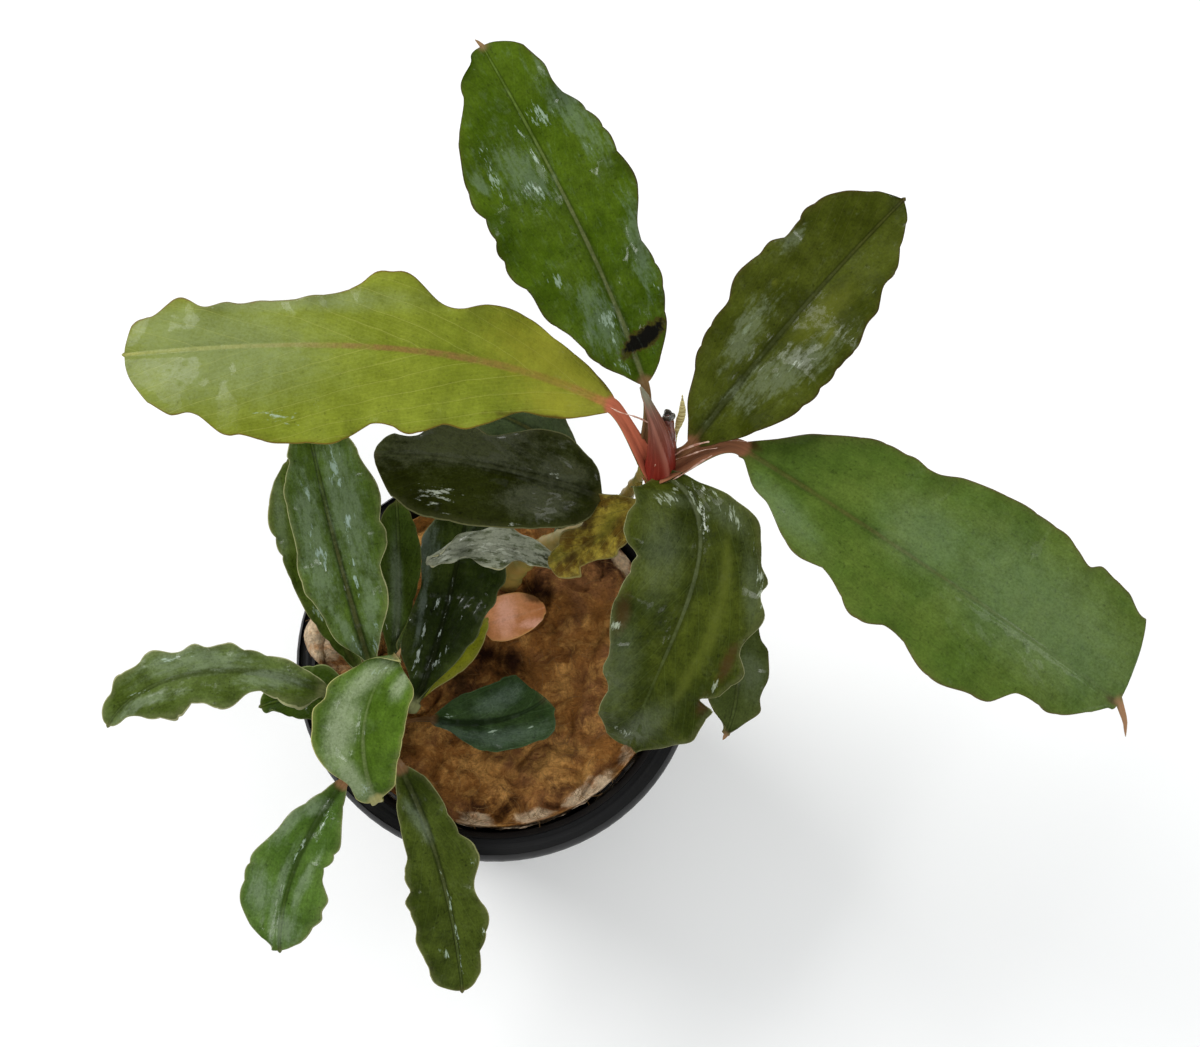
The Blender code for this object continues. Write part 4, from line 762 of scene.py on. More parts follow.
    # relief in millimetres
    relief = g.times(vein_share, -0.07)
    relief = g.times(g.noise(spot, 2.2, 3), 0.3, relief)
    relief = g.times(g.noise(spot, 0.42, 2), 0.035, relief)
    relief = g.times(streaks, 0.03, relief)
    relief = g.times(grain, 0.012, relief)
    relief = g.times(g.times(weave, g.plus(film, glint_marks)), 0.12, relief)
    stalk_relief = g.times(lined, 0.06)
    relief = g.plus(g.times(relief, on_blade), g.times(stalk_relief, g.less(1, on_blade)))
    g.fill(result, {"Color": tone, "Roughness": rough, "Wet": wet, "Height": relief})
    return g.tree


def grime_group():
    """Dust and fine scratches, for the pot and the stems."""
    inputs = (("Color", COLOUR, GREY), ("Dust colour", COLOUR, GREY), ("Dust", NUMBER, 0.3),
              ("Roughness", NUMBER, 0.4))
    outputs = (("Color", COLOUR, None), ("Roughness", NUMBER, None), ("Height", NUMBER, None))
    g, given, result = new_group("grime", "ShaderNodeTree", inputs, outputs)
    spot = g.millimetres()
    specks = g.ease(g.noise(spot, 0.35, 4, 0.7), 0.56, 0.68)
    patches = g.ease(g.noise(spot, 5, 4, 0.6), 0.42, 0.66)
    dust = g.times(g.times(patches, 0.5, g.times(specks, 0.5)), given["Dust"], clamp=True)
    tone = g.mix(dust, given["Color"], given["Dust colour"])
    rough = g.times(dust, 0.5, given["Roughness"])
    rough = g.times(g.noise(spot, 2, 3), 0.12, rough)
    height = g.times(g.noise(spot, 0.25, 2), 0.012, g.times(patches, 0.01))
    g.fill(result, {"Color": tone, "Roughness": rough, "Height": height})
    return g.tree


def shared_group(name, make):
    return bpy.data.node_groups.get(name) or make()


def new_material(name):
    """A material with only its Principled shader, and a Graph to dress it with."""
    made = bpy.data.materials.new(name)
    made.use_nodes = True
    return made, Graph(made.node_tree), made.node_tree.nodes["Principled BSDF"]


def hand_out(graph, result, shape, material):
    """Ends a Geometry Nodes tree with one mesh in its material."""
    shape = graph.add("GeometryNodeRealizeInstances", {"Geometry": shape})
    shape = graph.add("GeometryNodeSetMaterial", {"Geometry": shape, "Material": material})
    graph.fill(result, {0: shape})
    return graph.tree


def bump(graph, shader, height):
    """Joins a relief in millimetres to the shader."""
    normal = graph.add("ShaderNodeBump", {"Height": height, "Distance": MM, "Strength": 1.0})
    graph.fill(shader, {"Normal": normal})


def leaf_material(name, settings):
    """The leaf tissue with the leaf's own look laid over its finish, and that over the usual look."""
    look = {**USUAL_LOOK, **FINISHES[LOOKS[name]["slot"]], **LOOKS[name]}
    values = {"vein_apart": settings.vein_apart/MM}
    for key, value in look.items():
        values[key] = srgb(*value) if isinstance(value, tuple) else value
    if isinstance(look["body"], str):
        values["body"] = tuple(getattr(settings, look["body"]))
    values["under"] = tuple(0.5*b+0.5*s+0.02 for b, s in zip(values["body"], values["second"]))
    values["wet"] *= settings.wetness
    made, g, shader = new_material(name+"_tissue")
    inputs = {socket_label(key): values[key] for key in LEAF_COLOURS+LEAF_NUMBERS}
    tree = shared_group("leaf_tissue", leaf_tissue_group)
    made_of = g.add("ShaderNodeGroup", inputs, out=None, node_tree=tree).outputs
    bump(g, shader, made_of["Height"])
    g.fill(shader, {"Base Color": made_of["Color"], "Roughness": made_of["Roughness"],
                    "Coat Weight": made_of["Wet"], "Coat Roughness": 0.07, "Coat IOR": 1.4,
                    "Specular IOR Level": 0.03})
    return made


def wander(x, y, size, seed):
    """Smooth wandering between about -1 and 1 whose lumps are about that size."""
    total = 0.0
    for k in range(6):
        turn = seed*1.73+k*2.399
        pace = 2*math.pi/size*(0.55+0.22*k)
        total = total+np.sin((x*math.cos(turn)+y*math.sin(turn))*pace+seed*2.1+k*1.9)/(1+0.35*k)
    return total/2.6


def smoothstep(value, low, high):
    x = np.clip((value-low)/(high-low), 0, 1)
    return x*x*(3-2*x)


def curve_through(points, places):
    """Points on a Catmull-Rom curve through the given ones, at places from 0 to 1."""
    given = np.array(points, float)
    given = np.concatenate([[2*given[0]-given[1]], given, [2*given[-1]-given[-2]]])
    last = len(given)-4
    x = np.clip(np.asarray(places, float)*(len(given)-3), 0, len(given)-3)
    i = np.minimum(x.astype(int), last)
    f = (x-i).reshape(-1, *[1]*(given.ndim-1))
    a, b, c, d = given[i], given[i+1], given[i+2], given[i+3]
    return 0.5*(2*b+(c-a)*f+(2*a-5*b+4*c-d)*f*f+(3*b-3*c+d-a)*f**3)


def blade_frames(leaf, stations, steps=240):
    """Points on the midrib at the stations, and the vectors along, to the right and up there."""
    def angles(t):
        return (np.radians(leaf["heading"]+leaf["sweep"]*(1-(1-t)**leaf["turn"])),
                np.radians(leaf["pitch"]-leaf["droop"]*(1-(1-t)**leaf["bend"])))

    def ahead_at(t):
        turn, lift = angles(t)
        return np.stack([np.cos(lift)*np.cos(turn), np.cos(lift)*np.sin(turn), np.sin(lift)], axis=1)

    fine = np.linspace(0, 1, steps+1)
    course = ahead_at(fine)
    strides = (course[1:]+course[:-1])/2*leaf["length"]/steps
    path = np.vstack([np.zeros(3), np.cumsum(strides, axis=0)])+leaf["base"]
    point = np.stack([np.interp(stations, fine, path[:, k]) for k in range(3)], axis=1)
    ahead = ahead_at(stations)
    turn = angles(stations)[0]
    right = np.stack([np.sin(turn), -np.cos(turn), np.zeros(len(turn))], axis=1)
    return point, ahead, right, np.cross(right, ahead)


def half_width(values, t, start, tip):
    """Half the blade's width at t: a smooth line through the values, rounded in at both ends."""
    last = len(values)-1
    x = t*len(values)-0.5
    if x < 0:
        return start+(values[0]-start)*(1+2*x)**0.8
    if x > last:
        return max(tip, values[-1]*math.sqrt(max(0, 1-2*(x-last))))
    i = min(int(x), last-1)
    f = x-i
    a = values[i-1] if i > 0 else 2*values[0]-values[1]
    b, c = values[i], values[i+1]
    d = values[i+2] if i+2 <= last else values[-1]*0.7
    return 0.5*(2*b+(c-a)*f+(2*a-5*b+4*c-d)*f*f+(3*b-3*c+d-a)*f**3)


def lobe_line(pairs, along):
    """How far the margin stands out there: an eased line through the lobes' crests and troughs."""
    places, heights = (np.array(value, float) for value in zip(*pairs))
    i = np.clip(np.searchsorted(places, along)-1, 0, len(places)-2)
    share = np.clip((along-places[i])/(places[i+1]-places[i]), 0, 1)
    return heights[i]+(heights[i+1]-heights[i])*(0.5-0.5*np.cos(math.pi*share))


def crimps(t, length, phase):
    """Rounded lobes along a margin, from about -0.6 to 0.4, uneven in length."""
    place = length*t/CRIMP_LENGTH+phase+0.35*np.sin(2*math.pi*(2.3*t+phase))
    return np.abs(np.sin(math.pi*place))**0.7*(0.75+0.5*np.sin(5.1*t+3*phase)**2)-0.6


def blade_section(leaf, t, v):
    """Offsets to the right, and up for both faces, at stations t and shares v of the blade's width."""
    length, phase = leaf["length"], leaf["phase"]
    seed = (length*7.3) % 11
    start, end = leaf["petiole"][0], leaf["tip_half"]
    left, right = ([[half_width(leaf[side], s, start, end)] for s in t] for side in ("left", "right"))
    t, v = t[:, None], v[None, :]
    half = np.where(v > 0, right, left)
    off = np.abs(v)
    grown = np.minimum(1, np.clip(4*t*(1-t), 0, 1)**0.6)
    fold = math.radians(leaf["fold"])
    along = t*length
    left, right = ([(0, 0), *pairs, (length, 0)] for pairs in leaf["lobes"])
    seen = np.where(v > 0, lobe_line(right, along), lobe_line(left, along))
    fine = np.where(v > 0, crimps(t, length, phase), crimps(t, length, phase+1.37))*leaf["crimp"]*grown
    y = half*v*math.cos(fold)+np.sign(v)*(fine+seen)*off**3
    turn = 2*math.pi*leaf["waves"]*t+phase+np.where(v > 0, 0, 2.1)
    z = half*off*math.sin(fold)+leaf["cup"]*half*v*v
    z = z+leaf["wave"]*grown*off**3*(np.sin(turn)+0.4*np.sin(1.7*turn+1))
    z = z-(0.9*fine+0.35*np.clip(seen, -1.2, 1.2))*off**4
    z = z+0.16*grown*off*wander(along, y, 7, seed)+0.05*grown*wander(along, y, 2.6, seed+3)
    course = (along-2.2*np.abs(y)-0.05*y*y+0.5*wander(along, y, 6, seed+5))/3.4
    quilt = leaf["quilt"]*grown*np.cos(2*math.pi*course)*np.clip(off*3, 0, 1)*np.clip((1-off)*5, 0, 1)
    channel = (0.4-0.22*t)*np.exp(-(y/(0.8-0.35*t))**2)
    rib = (0.3-0.18*t)*np.exp(-(y/(0.3-0.12*t))**2)
    upper = z+quilt+leaf["rib"]*(rib-channel)*smoothstep(t, 0, 0.04)
    thick = MARGIN_THICK+(BLADE_THICK-MARGIN_THICK)*np.sqrt(np.clip(1-off**2, 0, 1))
    thick = np.minimum(thick, 0.1+half*0.5)
    ridge = 0.55*np.sqrt(np.clip(1-t, 0, 1))*np.exp(-(y/0.75)**2)
    lower = z+0.6*quilt-thick-ridge
    return y, upper, lower, half*(1-off)


def blade_slide(leaf, t, y):
    """How far each place of the blade slides back towards the stalk, where the base has shoulders."""
    left, right = leaf["shoulders"]
    return -np.where(y > 0, right, left)*np.abs(y)*(1-smoothstep(t, 0, 0.3))[:, None]


def stalk_section(leaf, s, v):
    """The same offsets over the petiole, a channelled, flattened round, at stations s from its root."""
    wide, deep = leaf["petiole"]
    s, v = s[:, None], v[None, :]
    base = (1-s)**2
    wide, deep = wide*(0.86+leaf["sheath"]*base), deep*(0.85+0.3*base)
    dome = np.sqrt(np.clip(1-v*v, 0, 1))
    curl = 0.5*base*wide*v*v
    y = wide*v+np.zeros_like(s)
    upper = deep*(0.8*dome-0.55*np.exp(-(v/0.42)**2))+curl
    lower = curl-deep*dome
    return y, upper, lower


def stalk_frames(leaf, s):
    """The petiole's middle from inside the stem to the blade, with the vectors to the right and up."""
    point, ahead, right, _ = (value[0] for value in blade_frames(leaf, np.array([0.0])))
    root = np.array(leaf["root"], float)
    reach = np.linalg.norm(point-root)
    leave_share, arrive_share, lift = leaf["arch"]
    leave = (point-root)/reach+np.array([0, 0, lift])
    leave /= np.linalg.norm(leave)
    root = root-leave*leaf["sink"]
    reach += leaf["sink"]
    handles = (root, root+leave*reach*leave_share, point-ahead*reach*arrive_share, point)
    u = s[:, None]
    middle = (1-u)**3*handles[0]+3*u*(1-u)**2*handles[1]+3*u*u*(1-u)*handles[2]+u**3*handles[3]
    slopes = [b-a for a, b in zip(handles, handles[1:])]
    along = (1-u)**2*slopes[0]+2*u*(1-u)*slopes[1]+u*u*slopes[2]
    along /= np.linalg.norm(along, axis=1, keepdims=True)
    side = right-along*(along @ right)[:, None]
    side /= np.linalg.norm(side, axis=1, keepdims=True)
    return middle, side, np.cross(side, along), reach


def mark_strength(name, kind, along, across):
    """How strongly the marks of a kind lie on each place of a leaf, from 0 to 1."""
    total = np.zeros_like(along)
    for at, over, long_half, wide_half, turn in MARKS.get(name, {}).get(kind, ()):
        c, s = math.cos(math.radians(turn)), math.sin(math.radians(turn))
        a, b = along-at, across-over
        far = ((a*c+b*s)/long_half)**2+((b*c-a*s)/wide_half)**2
        total = np.maximum(total, np.exp(-far*0.8))
    return total


def leaf_mesh(name, leaf):
    """Rows of points round the petiole, the blade and its point, with what the material reads."""
    leaf = {**USUAL, **leaf}
    widest = max(*leaf["left"], *leaf["right"])
    half_count = int(np.clip(widest/COLUMN_WIDTH, *COLUMNS_EACH_SIDE))
    ramp = np.linspace(-1, 1, 2*half_count+1)
    v = np.sign(ramp)*np.abs(ramp)**1.25
    count = int(leaf["length"]/STEP)
    steps = np.linspace(0, 1, count+1)
    t = 0.6*(0.5-0.5*np.cos(math.pi*steps))+0.4*steps
    point, ahead, right, up = blade_frames(leaf, t)
    y, upper, lower, margin = blade_section(leaf, t, v)

    # the petiole runs into the blade's first row
    s = np.linspace(0, 1, PETIOLE_ROWS, endpoint=False)
    stalk_point, stalk_right, stalk_up, reach = stalk_frames(leaf, s)
    sy, s_upper, s_lower = stalk_section(leaf, s, v)
    blend = smoothstep(s, 0.5, 1)[:, None]
    pairs = ((sy, y), (s_upper, upper), (s_lower, lower))
    sy, s_upper, s_lower = (a*(1-blend)+b[:1]*blend for a, b in pairs)

    # the point goes on from the blade's last row
    length, bend = leaf["point"]
    p = np.linspace(0, 1, POINT_ROWS+1)[1:]
    swing = math.radians(bend)
    way = ahead[-1]*math.cos(swing)+(-right[-1])*math.sin(swing)
    tip_point = point[-1]+(ahead[-1]*0.25*np.minimum(1, p[:, None]*2)+way*p[:, None])*length
    side = right[-1]*math.cos(swing)+ahead[-1]*math.sin(swing)
    tip_right = right[-1]*(1-p[:, None])+side*p[:, None]
    shrink = (1-p[:, None])**0.8*0.94+0.06
    ty, t_upper, t_lower = y[-1:]*shrink, upper[-1:]*shrink, lower[-1:]*shrink

    def place_rows(middles, rights, ups, offsets, lifts):
        return middles[:, None]+rights[:, None]*offsets[..., None]+ups[:, None]*lifts[..., None]

    tip_up = np.repeat(up[-1:], len(p), axis=0)
    slide = ahead[:, None]*blade_slide(leaf, t, y)[..., None]
    top = np.concatenate([place_rows(stalk_point, stalk_right, stalk_up, sy, s_upper),
                          place_rows(point, right, up, y, upper)+slide,
                          place_rows(tip_point, tip_right, tip_up, ty, t_upper)])
    below = np.concatenate([place_rows(stalk_point, stalk_right, stalk_up, sy, s_lower),
                            place_rows(point, right, up, y, lower)+slide,
                            place_rows(tip_point, tip_right, tip_up, ty, t_lower)])
    along = np.concatenate([(s-1)*reach, t*leaf["length"], leaf["length"]+p*length])
    along = along[:, None]+np.zeros_like(v)
    across = np.concatenate([sy, y, ty])
    inward = np.concatenate([np.full_like(sy, 9)*(1-blend)+blend*2, margin, np.full_like(ty, 0.3)])
    share = np.concatenate([0*s, t, 0*p+1])[:, None]+np.zeros_like(v)
    started = 0.5+0.5*smoothstep(t*leaf["length"], 0, 1.6)
    is_blade = np.concatenate([0.5*smoothstep(s, 0.6, 1), started, 0*p+1])[:, None]+np.zeros_like(v)
    near_tip = smoothstep(t, 1-1.0/leaf["length"], 1)[:, None]*np.exp(-(y/0.6)**2)*0.8
    is_tip = np.concatenate([np.zeros_like(sy), near_tip, np.ones_like(ty)])*leaf["tip"]

    ring = 2*len(v)
    rows = len(top)
    points = np.concatenate([top, below[:, ::-1]], axis=1).reshape(-1, 3)*MM
    is_upper = np.concatenate([np.ones_like(across), np.zeros_like(across)], axis=1).reshape(-1)

    def both(value):
        return np.concatenate([value, value[:, ::-1]], axis=1).reshape(-1)

    kinds = ("yellow", "dead", "haze", "glint", "brown")
    marks = {kind: both(mark_strength(name, kind, along, across)) for kind in kinds}
    values = {
        "place": np.stack([both(along), both(across), both(inward)], axis=1),
        "marks": np.stack([both(is_tip), marks["yellow"]*is_upper, marks["dead"]], axis=1),
        "side": np.stack([is_upper, both(is_blade), both(share)], axis=1),
        "film": np.stack([marks[kind]*is_upper for kind in ("haze", "glint", "brown")], axis=1),
    }
    return points, rows, ring, values


def ring_faces(rows, ring):
    """Quads between rows of points that close round."""
    a = np.arange((rows-1)*ring)
    b = a-a % ring+(a+1) % ring
    return np.stack([a, b, b+ring, a+ring], axis=1)


def new_piece(name, points, faces, material, values=None, uv=None):
    """A smooth mesh object at the origin, closed rings turned the right way out."""
    points, quads = np.asarray(points, float), np.asarray(faces)
    a, b, c, d = (points[quads[:, k]] for k in range(4))
    volume = np.einsum("ij,ij->i", a, np.cross(b, c)).sum()+np.einsum("ij,ij->i", a, np.cross(c, d)).sum()
    if volume < 0:
        quads = quads[:, ::-1]
    mesh = bpy.data.meshes.new(name)
    mesh.from_pydata(points.tolist(), [], quads.tolist())
    for label, value in (values or {}).items():
        layer = mesh.attributes.new(label, "FLOAT_VECTOR", "POINT")
        layer.data.foreach_set("vector", value.astype(np.float32).ravel())
    if uv is not None:
        corner = np.zeros(len(mesh.loops), np.int32)
        mesh.loops.foreach_get("vertex_index", corner)
        mesh.uv_layers.new(name="UVMap").data.foreach_set("uv", uv[corner].astype(np.float32).ravel())
    mesh.materials.append(material)
    return link_piece(name, mesh)


def link_piece(name, mesh):
    mesh.validate()
    mesh.shade_smooth()
    piece = bpy.data.objects.new(name, mesh)
    bpy.context.scene.collection.objects.link(piece)
    return piece


def fit_piece(piece, slot, *nodes):
    """Rides the piece on the part and lets it stand for its CAD nodes."""
    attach(piece, "root")
    if nodes:
        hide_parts(*nodes)
    return piece


def close_ends(points, rows, ring, values):
    """Faces over a stack of rings, closed at both ends by narrow quads round a middle point."""
    points = np.asarray(points, float)
    last_row = (rows-1)*ring
    middles = [points[:ring].mean(axis=0), points[last_row:].mean(axis=0)]
    first = len(points)
    extra = []
    for j in range(0, ring, 2):
        k, m = (j+1) % ring, (j+2) % ring
        extra.append((first, m, k, j))
        extra.append((last_row+j, last_row+k, last_row+m, first+1))
    values = {key: np.vstack([value, value[:1], value[-1:]]) for key, value in values.items()}
    return np.vstack([points, middles]), np.vstack([ring_faces(rows, ring), extra]), values


def make_leaf(name, leaf, settings):
    points, faces, values = close_ends(*leaf_mesh(name, leaf))
    place, side = values["place"], values["side"]
    uv = np.stack([0.25+0.5*(1-side[:, 0])+place[:, 1]/60, 0.1+place[:, 0]/75], axis=1)
    piece = new_piece(name+"_blade", points, faces, leaf_material(name, settings), values, uv)
    fit_piece(piece, LOOKS[name]["slot"], name)


def wool_top(x, y):
    """How high the CAD wool's worn top stands, in millimetres."""
    height = WOOL_LEVEL+0.7*np.sin(0.33*x+1.1)*np.cos(0.29*y-0.4)+0.4*np.sin(0.71*x-0.6*y+2)
    return height-2.2*np.exp(-((x-WOOL_PIT[0])**2+(y-WOOL_PIT[1])**2)/16)


def wool_mesh(turns=230, top_rows=86, side_rows=34):
    """Rings over the wool's top, down by the wall and in under it, with stains and painted shade and light.
    """
    angle = np.linspace(0, 2*math.pi, turns, endpoint=False)
    wall_low = BASE_RADIUS-WALL-WOOL_GAP-0.4
    wall_high = POT_HIGH.x/MM-RIM_WIDTH-WALL-WOOL_GAP+0.4
    floor = FLOOR+WOOL_GAP
    away = (np.degrees(angle)-WOOL_SPILL_TURN+180) % 360-180
    spill = np.exp(-(away/WOOL_SPILL_SPREAD)**2)
    rise, out = np.minimum(1, spill/0.45), np.maximum(0, (spill-0.6)/0.4)
    flat = np.zeros(turns)
    radii = [flat, flat+5.5, flat+11, 16.5+1.5*out, 20.4+4.6*out, flat+wall_high,
             flat+(wall_low+wall_high)/2, flat+wall_low+0.1, flat+wall_low-0.8, flat+wall_low*0.5, flat]
    tops = [r*np.cos(angle) for r in radii[:4]], [r*np.sin(angle) for r in radii[:4]]
    lifts = (flat, flat, 1.2*rise, 3.6*rise)
    heights = [wool_top(x, y)+lift for x, y, lift in zip(*tops, lifts)]
    heights += [WOOL_LEVEL+2.4*rise+0.3*out, WOOL_LEVEL-1.4+3.5*rise, flat+(floor+WOOL_LEVEL-1.4)/2,
                flat+floor+1.2, flat+floor, flat+floor, flat+floor]
    places = np.concatenate([np.linspace(0, 0.5, top_rows), np.linspace(0.5, 1, side_rows)[1:]])
    radius = curve_through(radii, places)
    height = curve_through(heights, places)
    radius[0] = 0.02
    radius[-1] = 0.02
    x, y = radius*np.cos(angle), radius*np.sin(angle)
    # lumps on top, and a felted unevenness all over
    top = smoothstep(places, 0.47, 0.40)[:, None]
    lump = 0.7*wander(x, y, 8, 1)+0.6*wander(x, y, 4.2, 2)+0.34*wander(x, y, 2, 3)
    crease = -0.9*np.exp(-(wander(x, y, 9, 7)/0.16)**2)*smoothstep(np.hypot(x, y), 3, 8)
    fine = 0.12*wander(x, y, 0.9, 4)+0.07*wander(y, x, 0.5, 5)
    edge_dip = -1.6*smoothstep(radius, 18.5, 21.6)*(1-rise)*top
    height = height+top*(lump+crease+fine)+edge_dip
    around, tall = angle*20+0*radius, height+0*radius
    inward = 0.25*wander(around, tall, 3, 8)+0.12*wander(around, tall, 1.1, 9)
    side = smoothstep(places, 0.46, 0.52)[:, None]*smoothstep(radius, 4, 12)
    radius = radius-side*(0.3+inward)
    stain = {kind: np.zeros_like(radius) for kind in ("dark", "ochre", "cream")}
    for kind, sx, sy, size, strength in WOOL_STAINS:
        far = ((x-sx)**2+(y-sy)**2)/size**2
        stain[kind] = np.maximum(stain[kind], strength*np.exp(-far*0.9))
    degrees = np.degrees(angle)
    for turn, spread, lift in WOOL_SHREDS:
        near = np.exp(-((((degrees-turn+180) % 360)-180)/spread)**2)
        band = np.exp(-((radius-20.6)/1.1)**2)*top
        height = height+1.3*lift*near*band
        stain["cream"] = np.maximum(stain["cream"], 1.3*lift*near*np.exp(-((radius-21)/1)**2))
    stain["cream"] = np.maximum(stain["cream"], 0.55*side)
    points = np.stack([radius*np.cos(angle), radius*np.sin(angle), height], axis=-1).reshape(-1, 3)*MM
    shade = np.stack([stain[k] for k in ("dark", "ochre", "cream")], axis=-1).reshape(-1, 3)
    return points, len(places), turns, {"stain": shade}


def wool_material(settings):
    made, g, shader = new_material("felted_wool")
    dark, ochre, cream = g.split(g.attribute("stain"))
    spot = g.millimetres()
    swirl = g.noise(spot, 5.5, 5, 0.6, 1.8)
    lumps = g.noise(spot, 2.4, 6, 0.68, 1)
    felt = g.noise(spot, 0.5, 4, 0.7)
    threads = g.noise(g.stretch(spot, (0.35, 1, 2.4)), 0.28, 3, 0.7)
    # painted light and shade: the lumps noise also drives the bump, and the colour below is made lighter on
    # the raised lumps and darker in the low ones; the swirl noise adds uneven staining
    lump_shading = g.times(g.less(swirl, 0.5), 2.4, g.times(g.less(lumps, 0.5), 1.8))
    reddened = g.ease(g.noise(spot, 7, 3), 0.46, 0.64, 0, 0.55)
    tone = g.mix(reddened, settings.brown, srgb(136, 92, 62))
    tone = g.mix(g.ease(g.plus(ochre, lump_shading), 0.05, 0.8), tone, settings.ochre)
    greened = g.ease(g.noise(spot, 6, 3), 0.56, 0.72, 0, 0.3)
    tone = g.mix(greened, tone, srgb(96, 90, 46))
    # the dark marks: painted shade in the pit, the hollows and under the leaves, with darker staining
    tone = g.mix(g.ease(g.times(lump_shading, -0.6, dark), 0.16, 0.95), tone, settings.dark)
    clean = g.mix(g.ease(g.noise(spot, 1.4, 3), 0.48, 0.74), settings.cream, srgb(196, 150, 108))
    tone = g.mix(g.ease(g.times(lump_shading, 0.4, cream), 0.22, 0.62), tone, clean)
    bright = g.plus(g.times(felt, 1.5, -0.16), g.times(threads, 0.9))
    relief = g.times(threads, 0.12, g.times(lumps, 1.8, g.times(felt, 0.4)))
    bump(g, shader, relief)
    g.fill(shader, {"Base Color": g.shade(tone, bright), "Roughness": 0.78, "Specular IOR Level": 0.1})
    return made


def plain_material(name, colour, roughness, dust_colour, dust=0.3, speckle=None, surface=()):
    """A material whose colour, dust and unevenness come from the grime group.

    A speckle is a second colour and its noise. The surface holds more of the shader's inputs.
    """
    made, g, shader = new_material(name)
    values = {"Color": colour, "Dust colour": dust_colour, "Dust": dust, "Roughness": roughness}
    grime = g.add("ShaderNodeGroup", values, out=None, node_tree=shared_group("grime", grime_group)).outputs
    tone = grime["Color"]
    if speckle:
        bands = g.ease(g.noise(g.millimetres(), *speckle[1:]), 0.4, 0.6)
        tone = g.mix(bands, tone, speckle[0])
    bump(g, shader, grime["Height"])
    g.fill(shader, {"Base Color": tone, "Roughness": grime["Roughness"], **dict(surface)})
    return made


def run_modifiers(name, base, slot, *nodes):
    """The base object's mesh with its modifiers applied, as a piece of its own."""
    finished = base.evaluated_get(bpy.context.evaluated_depsgraph_get())
    mesh = bpy.data.meshes.new_from_object(finished)
    mesh.name = name
    bpy.data.objects.remove(base, do_unlink=True)
    if not mesh.polygons:
        raise RuntimeError(f"{name} came out empty")
    return fit_piece(link_piece(name, mesh), slot, *nodes)


def base_object(name, points, edges, values=None):
    """An object of bare points and edges for a Geometry Nodes tree to work on."""
    mesh = bpy.data.meshes.new(name)
    mesh.from_pydata([tuple(p) for p in points], edges, [])
    for label, value in (values or {}).items():
        layer = mesh.attributes.new(label, "FLOAT", "POINT")
        layer.data.foreach_set("value", np.asarray(value, np.float32))
    base = bpy.data.objects.new(name, mesh)
    bpy.context.scene.collection.objects.link(base)
    return base


def nodes_modifier(base, tree, values):
    """Puts the tree on the object, with its inputs set by name through their identifiers."""
    modifier = base.modifiers.new(tree.name, "NODES")
    modifier.node_group = tree
    known = {item.name: item.identifier for item in tree.interface.items_tree if item.in_out == "INPUT"}
    for name, value in values.items():
        modifier[known[name]] = value


def pot_tree():
    """Turns a section into the pot's thin shell, and opens its slots."""
    inputs = (("Section", GEOMETRY, None), ("Columns", WHOLE, 80), ("Columns per slot", WHOLE, 5),
              ("Turn", NUMBER, 0), ("Material", MATERIAL, None))
    g, given, result = new_group("net_pot", "GeometryNodeTree", inputs, (("Pot", GEOMETRY, None),))
    rows = g.add("GeometryNodeAttributeDomainSize", {0: given["Section"]}, out=0, component="MESH")
    grid = g.add("GeometryNodeMeshGrid", {"Size X": 1, "Size Y": 1, "Vertices Y": rows,
                                          "Vertices X": g.plus(given["Columns"], 1)})
    x, y, _ = g.split(g.add("GeometryNodeInputPosition"))
    column = g.times(g.plus(x, 0.5), given["Columns"])
    row = g.times(g.plus(y, 0.5), g.less(rows, 1))
    for label, value in (("column", column), ("row", row)):
        grid = g.add("GeometryNodeStoreNamedAttribute", {"Geometry": grid, "Name": label, "Value": value},
                     data_type="FLOAT", domain="POINT")
    column = g.stored("column")
    row = g.stored("row")
    place = g.add("GeometryNodeInputPosition")
    here = g.add("GeometryNodeSampleIndex", {"Geometry": given["Section"], "Value": place,
                                             "Index": g.math("ROUND", row)}, data_type="FLOAT_VECTOR")
    radius, _, height = g.split(here)
    angle = g.plus(g.times(g.math("DIVIDE", column, given["Columns"]), 2*math.pi), given["Turn"])
    place = g.join(g.times(radius, g.math("COSINE", angle)), g.times(radius, g.math("SINE", angle)), height)
    shell = g.add("GeometryNodeSetPosition", {"Geometry": grid, "Position": place})
    kind = g.add("GeometryNodeSampleIndex", {"Geometry": given["Section"], "Value": g.stored("slot"),
                                             "Index": g.math("FLOOR", row)}, data_type="FLOAT")
    beat = g.math("FLOORED_MODULO", g.math("FLOOR", column), given["Columns per slot"])
    in_wall = g.times(g.math("LESS_THAN", beat, 2), g.math("COMPARE", kind, 1, 0.1))
    beat = g.math("FLOORED_MODULO", g.math("FLOOR", column), g.times(given["Columns per slot"], 2))
    middle = g.times(g.math("GREATER_THAN", beat, 1.5), g.math("LESS_THAN", beat, 3.5))
    in_floor = g.times(middle, g.math("COMPARE", kind, 2, 0.1))
    open_face = g.math("GREATER_THAN", g.plus(in_wall, in_floor), 0.5)
    shell = g.add("GeometryNodeDeleteGeometry", {"Geometry": shell, "Selection": open_face}, domain="FACE")
    shell = g.add("GeometryNodeMergeByDistance", {"Geometry": shell, "Distance": 0.00002})
    return hand_out(g, result, shell, given["Material"])


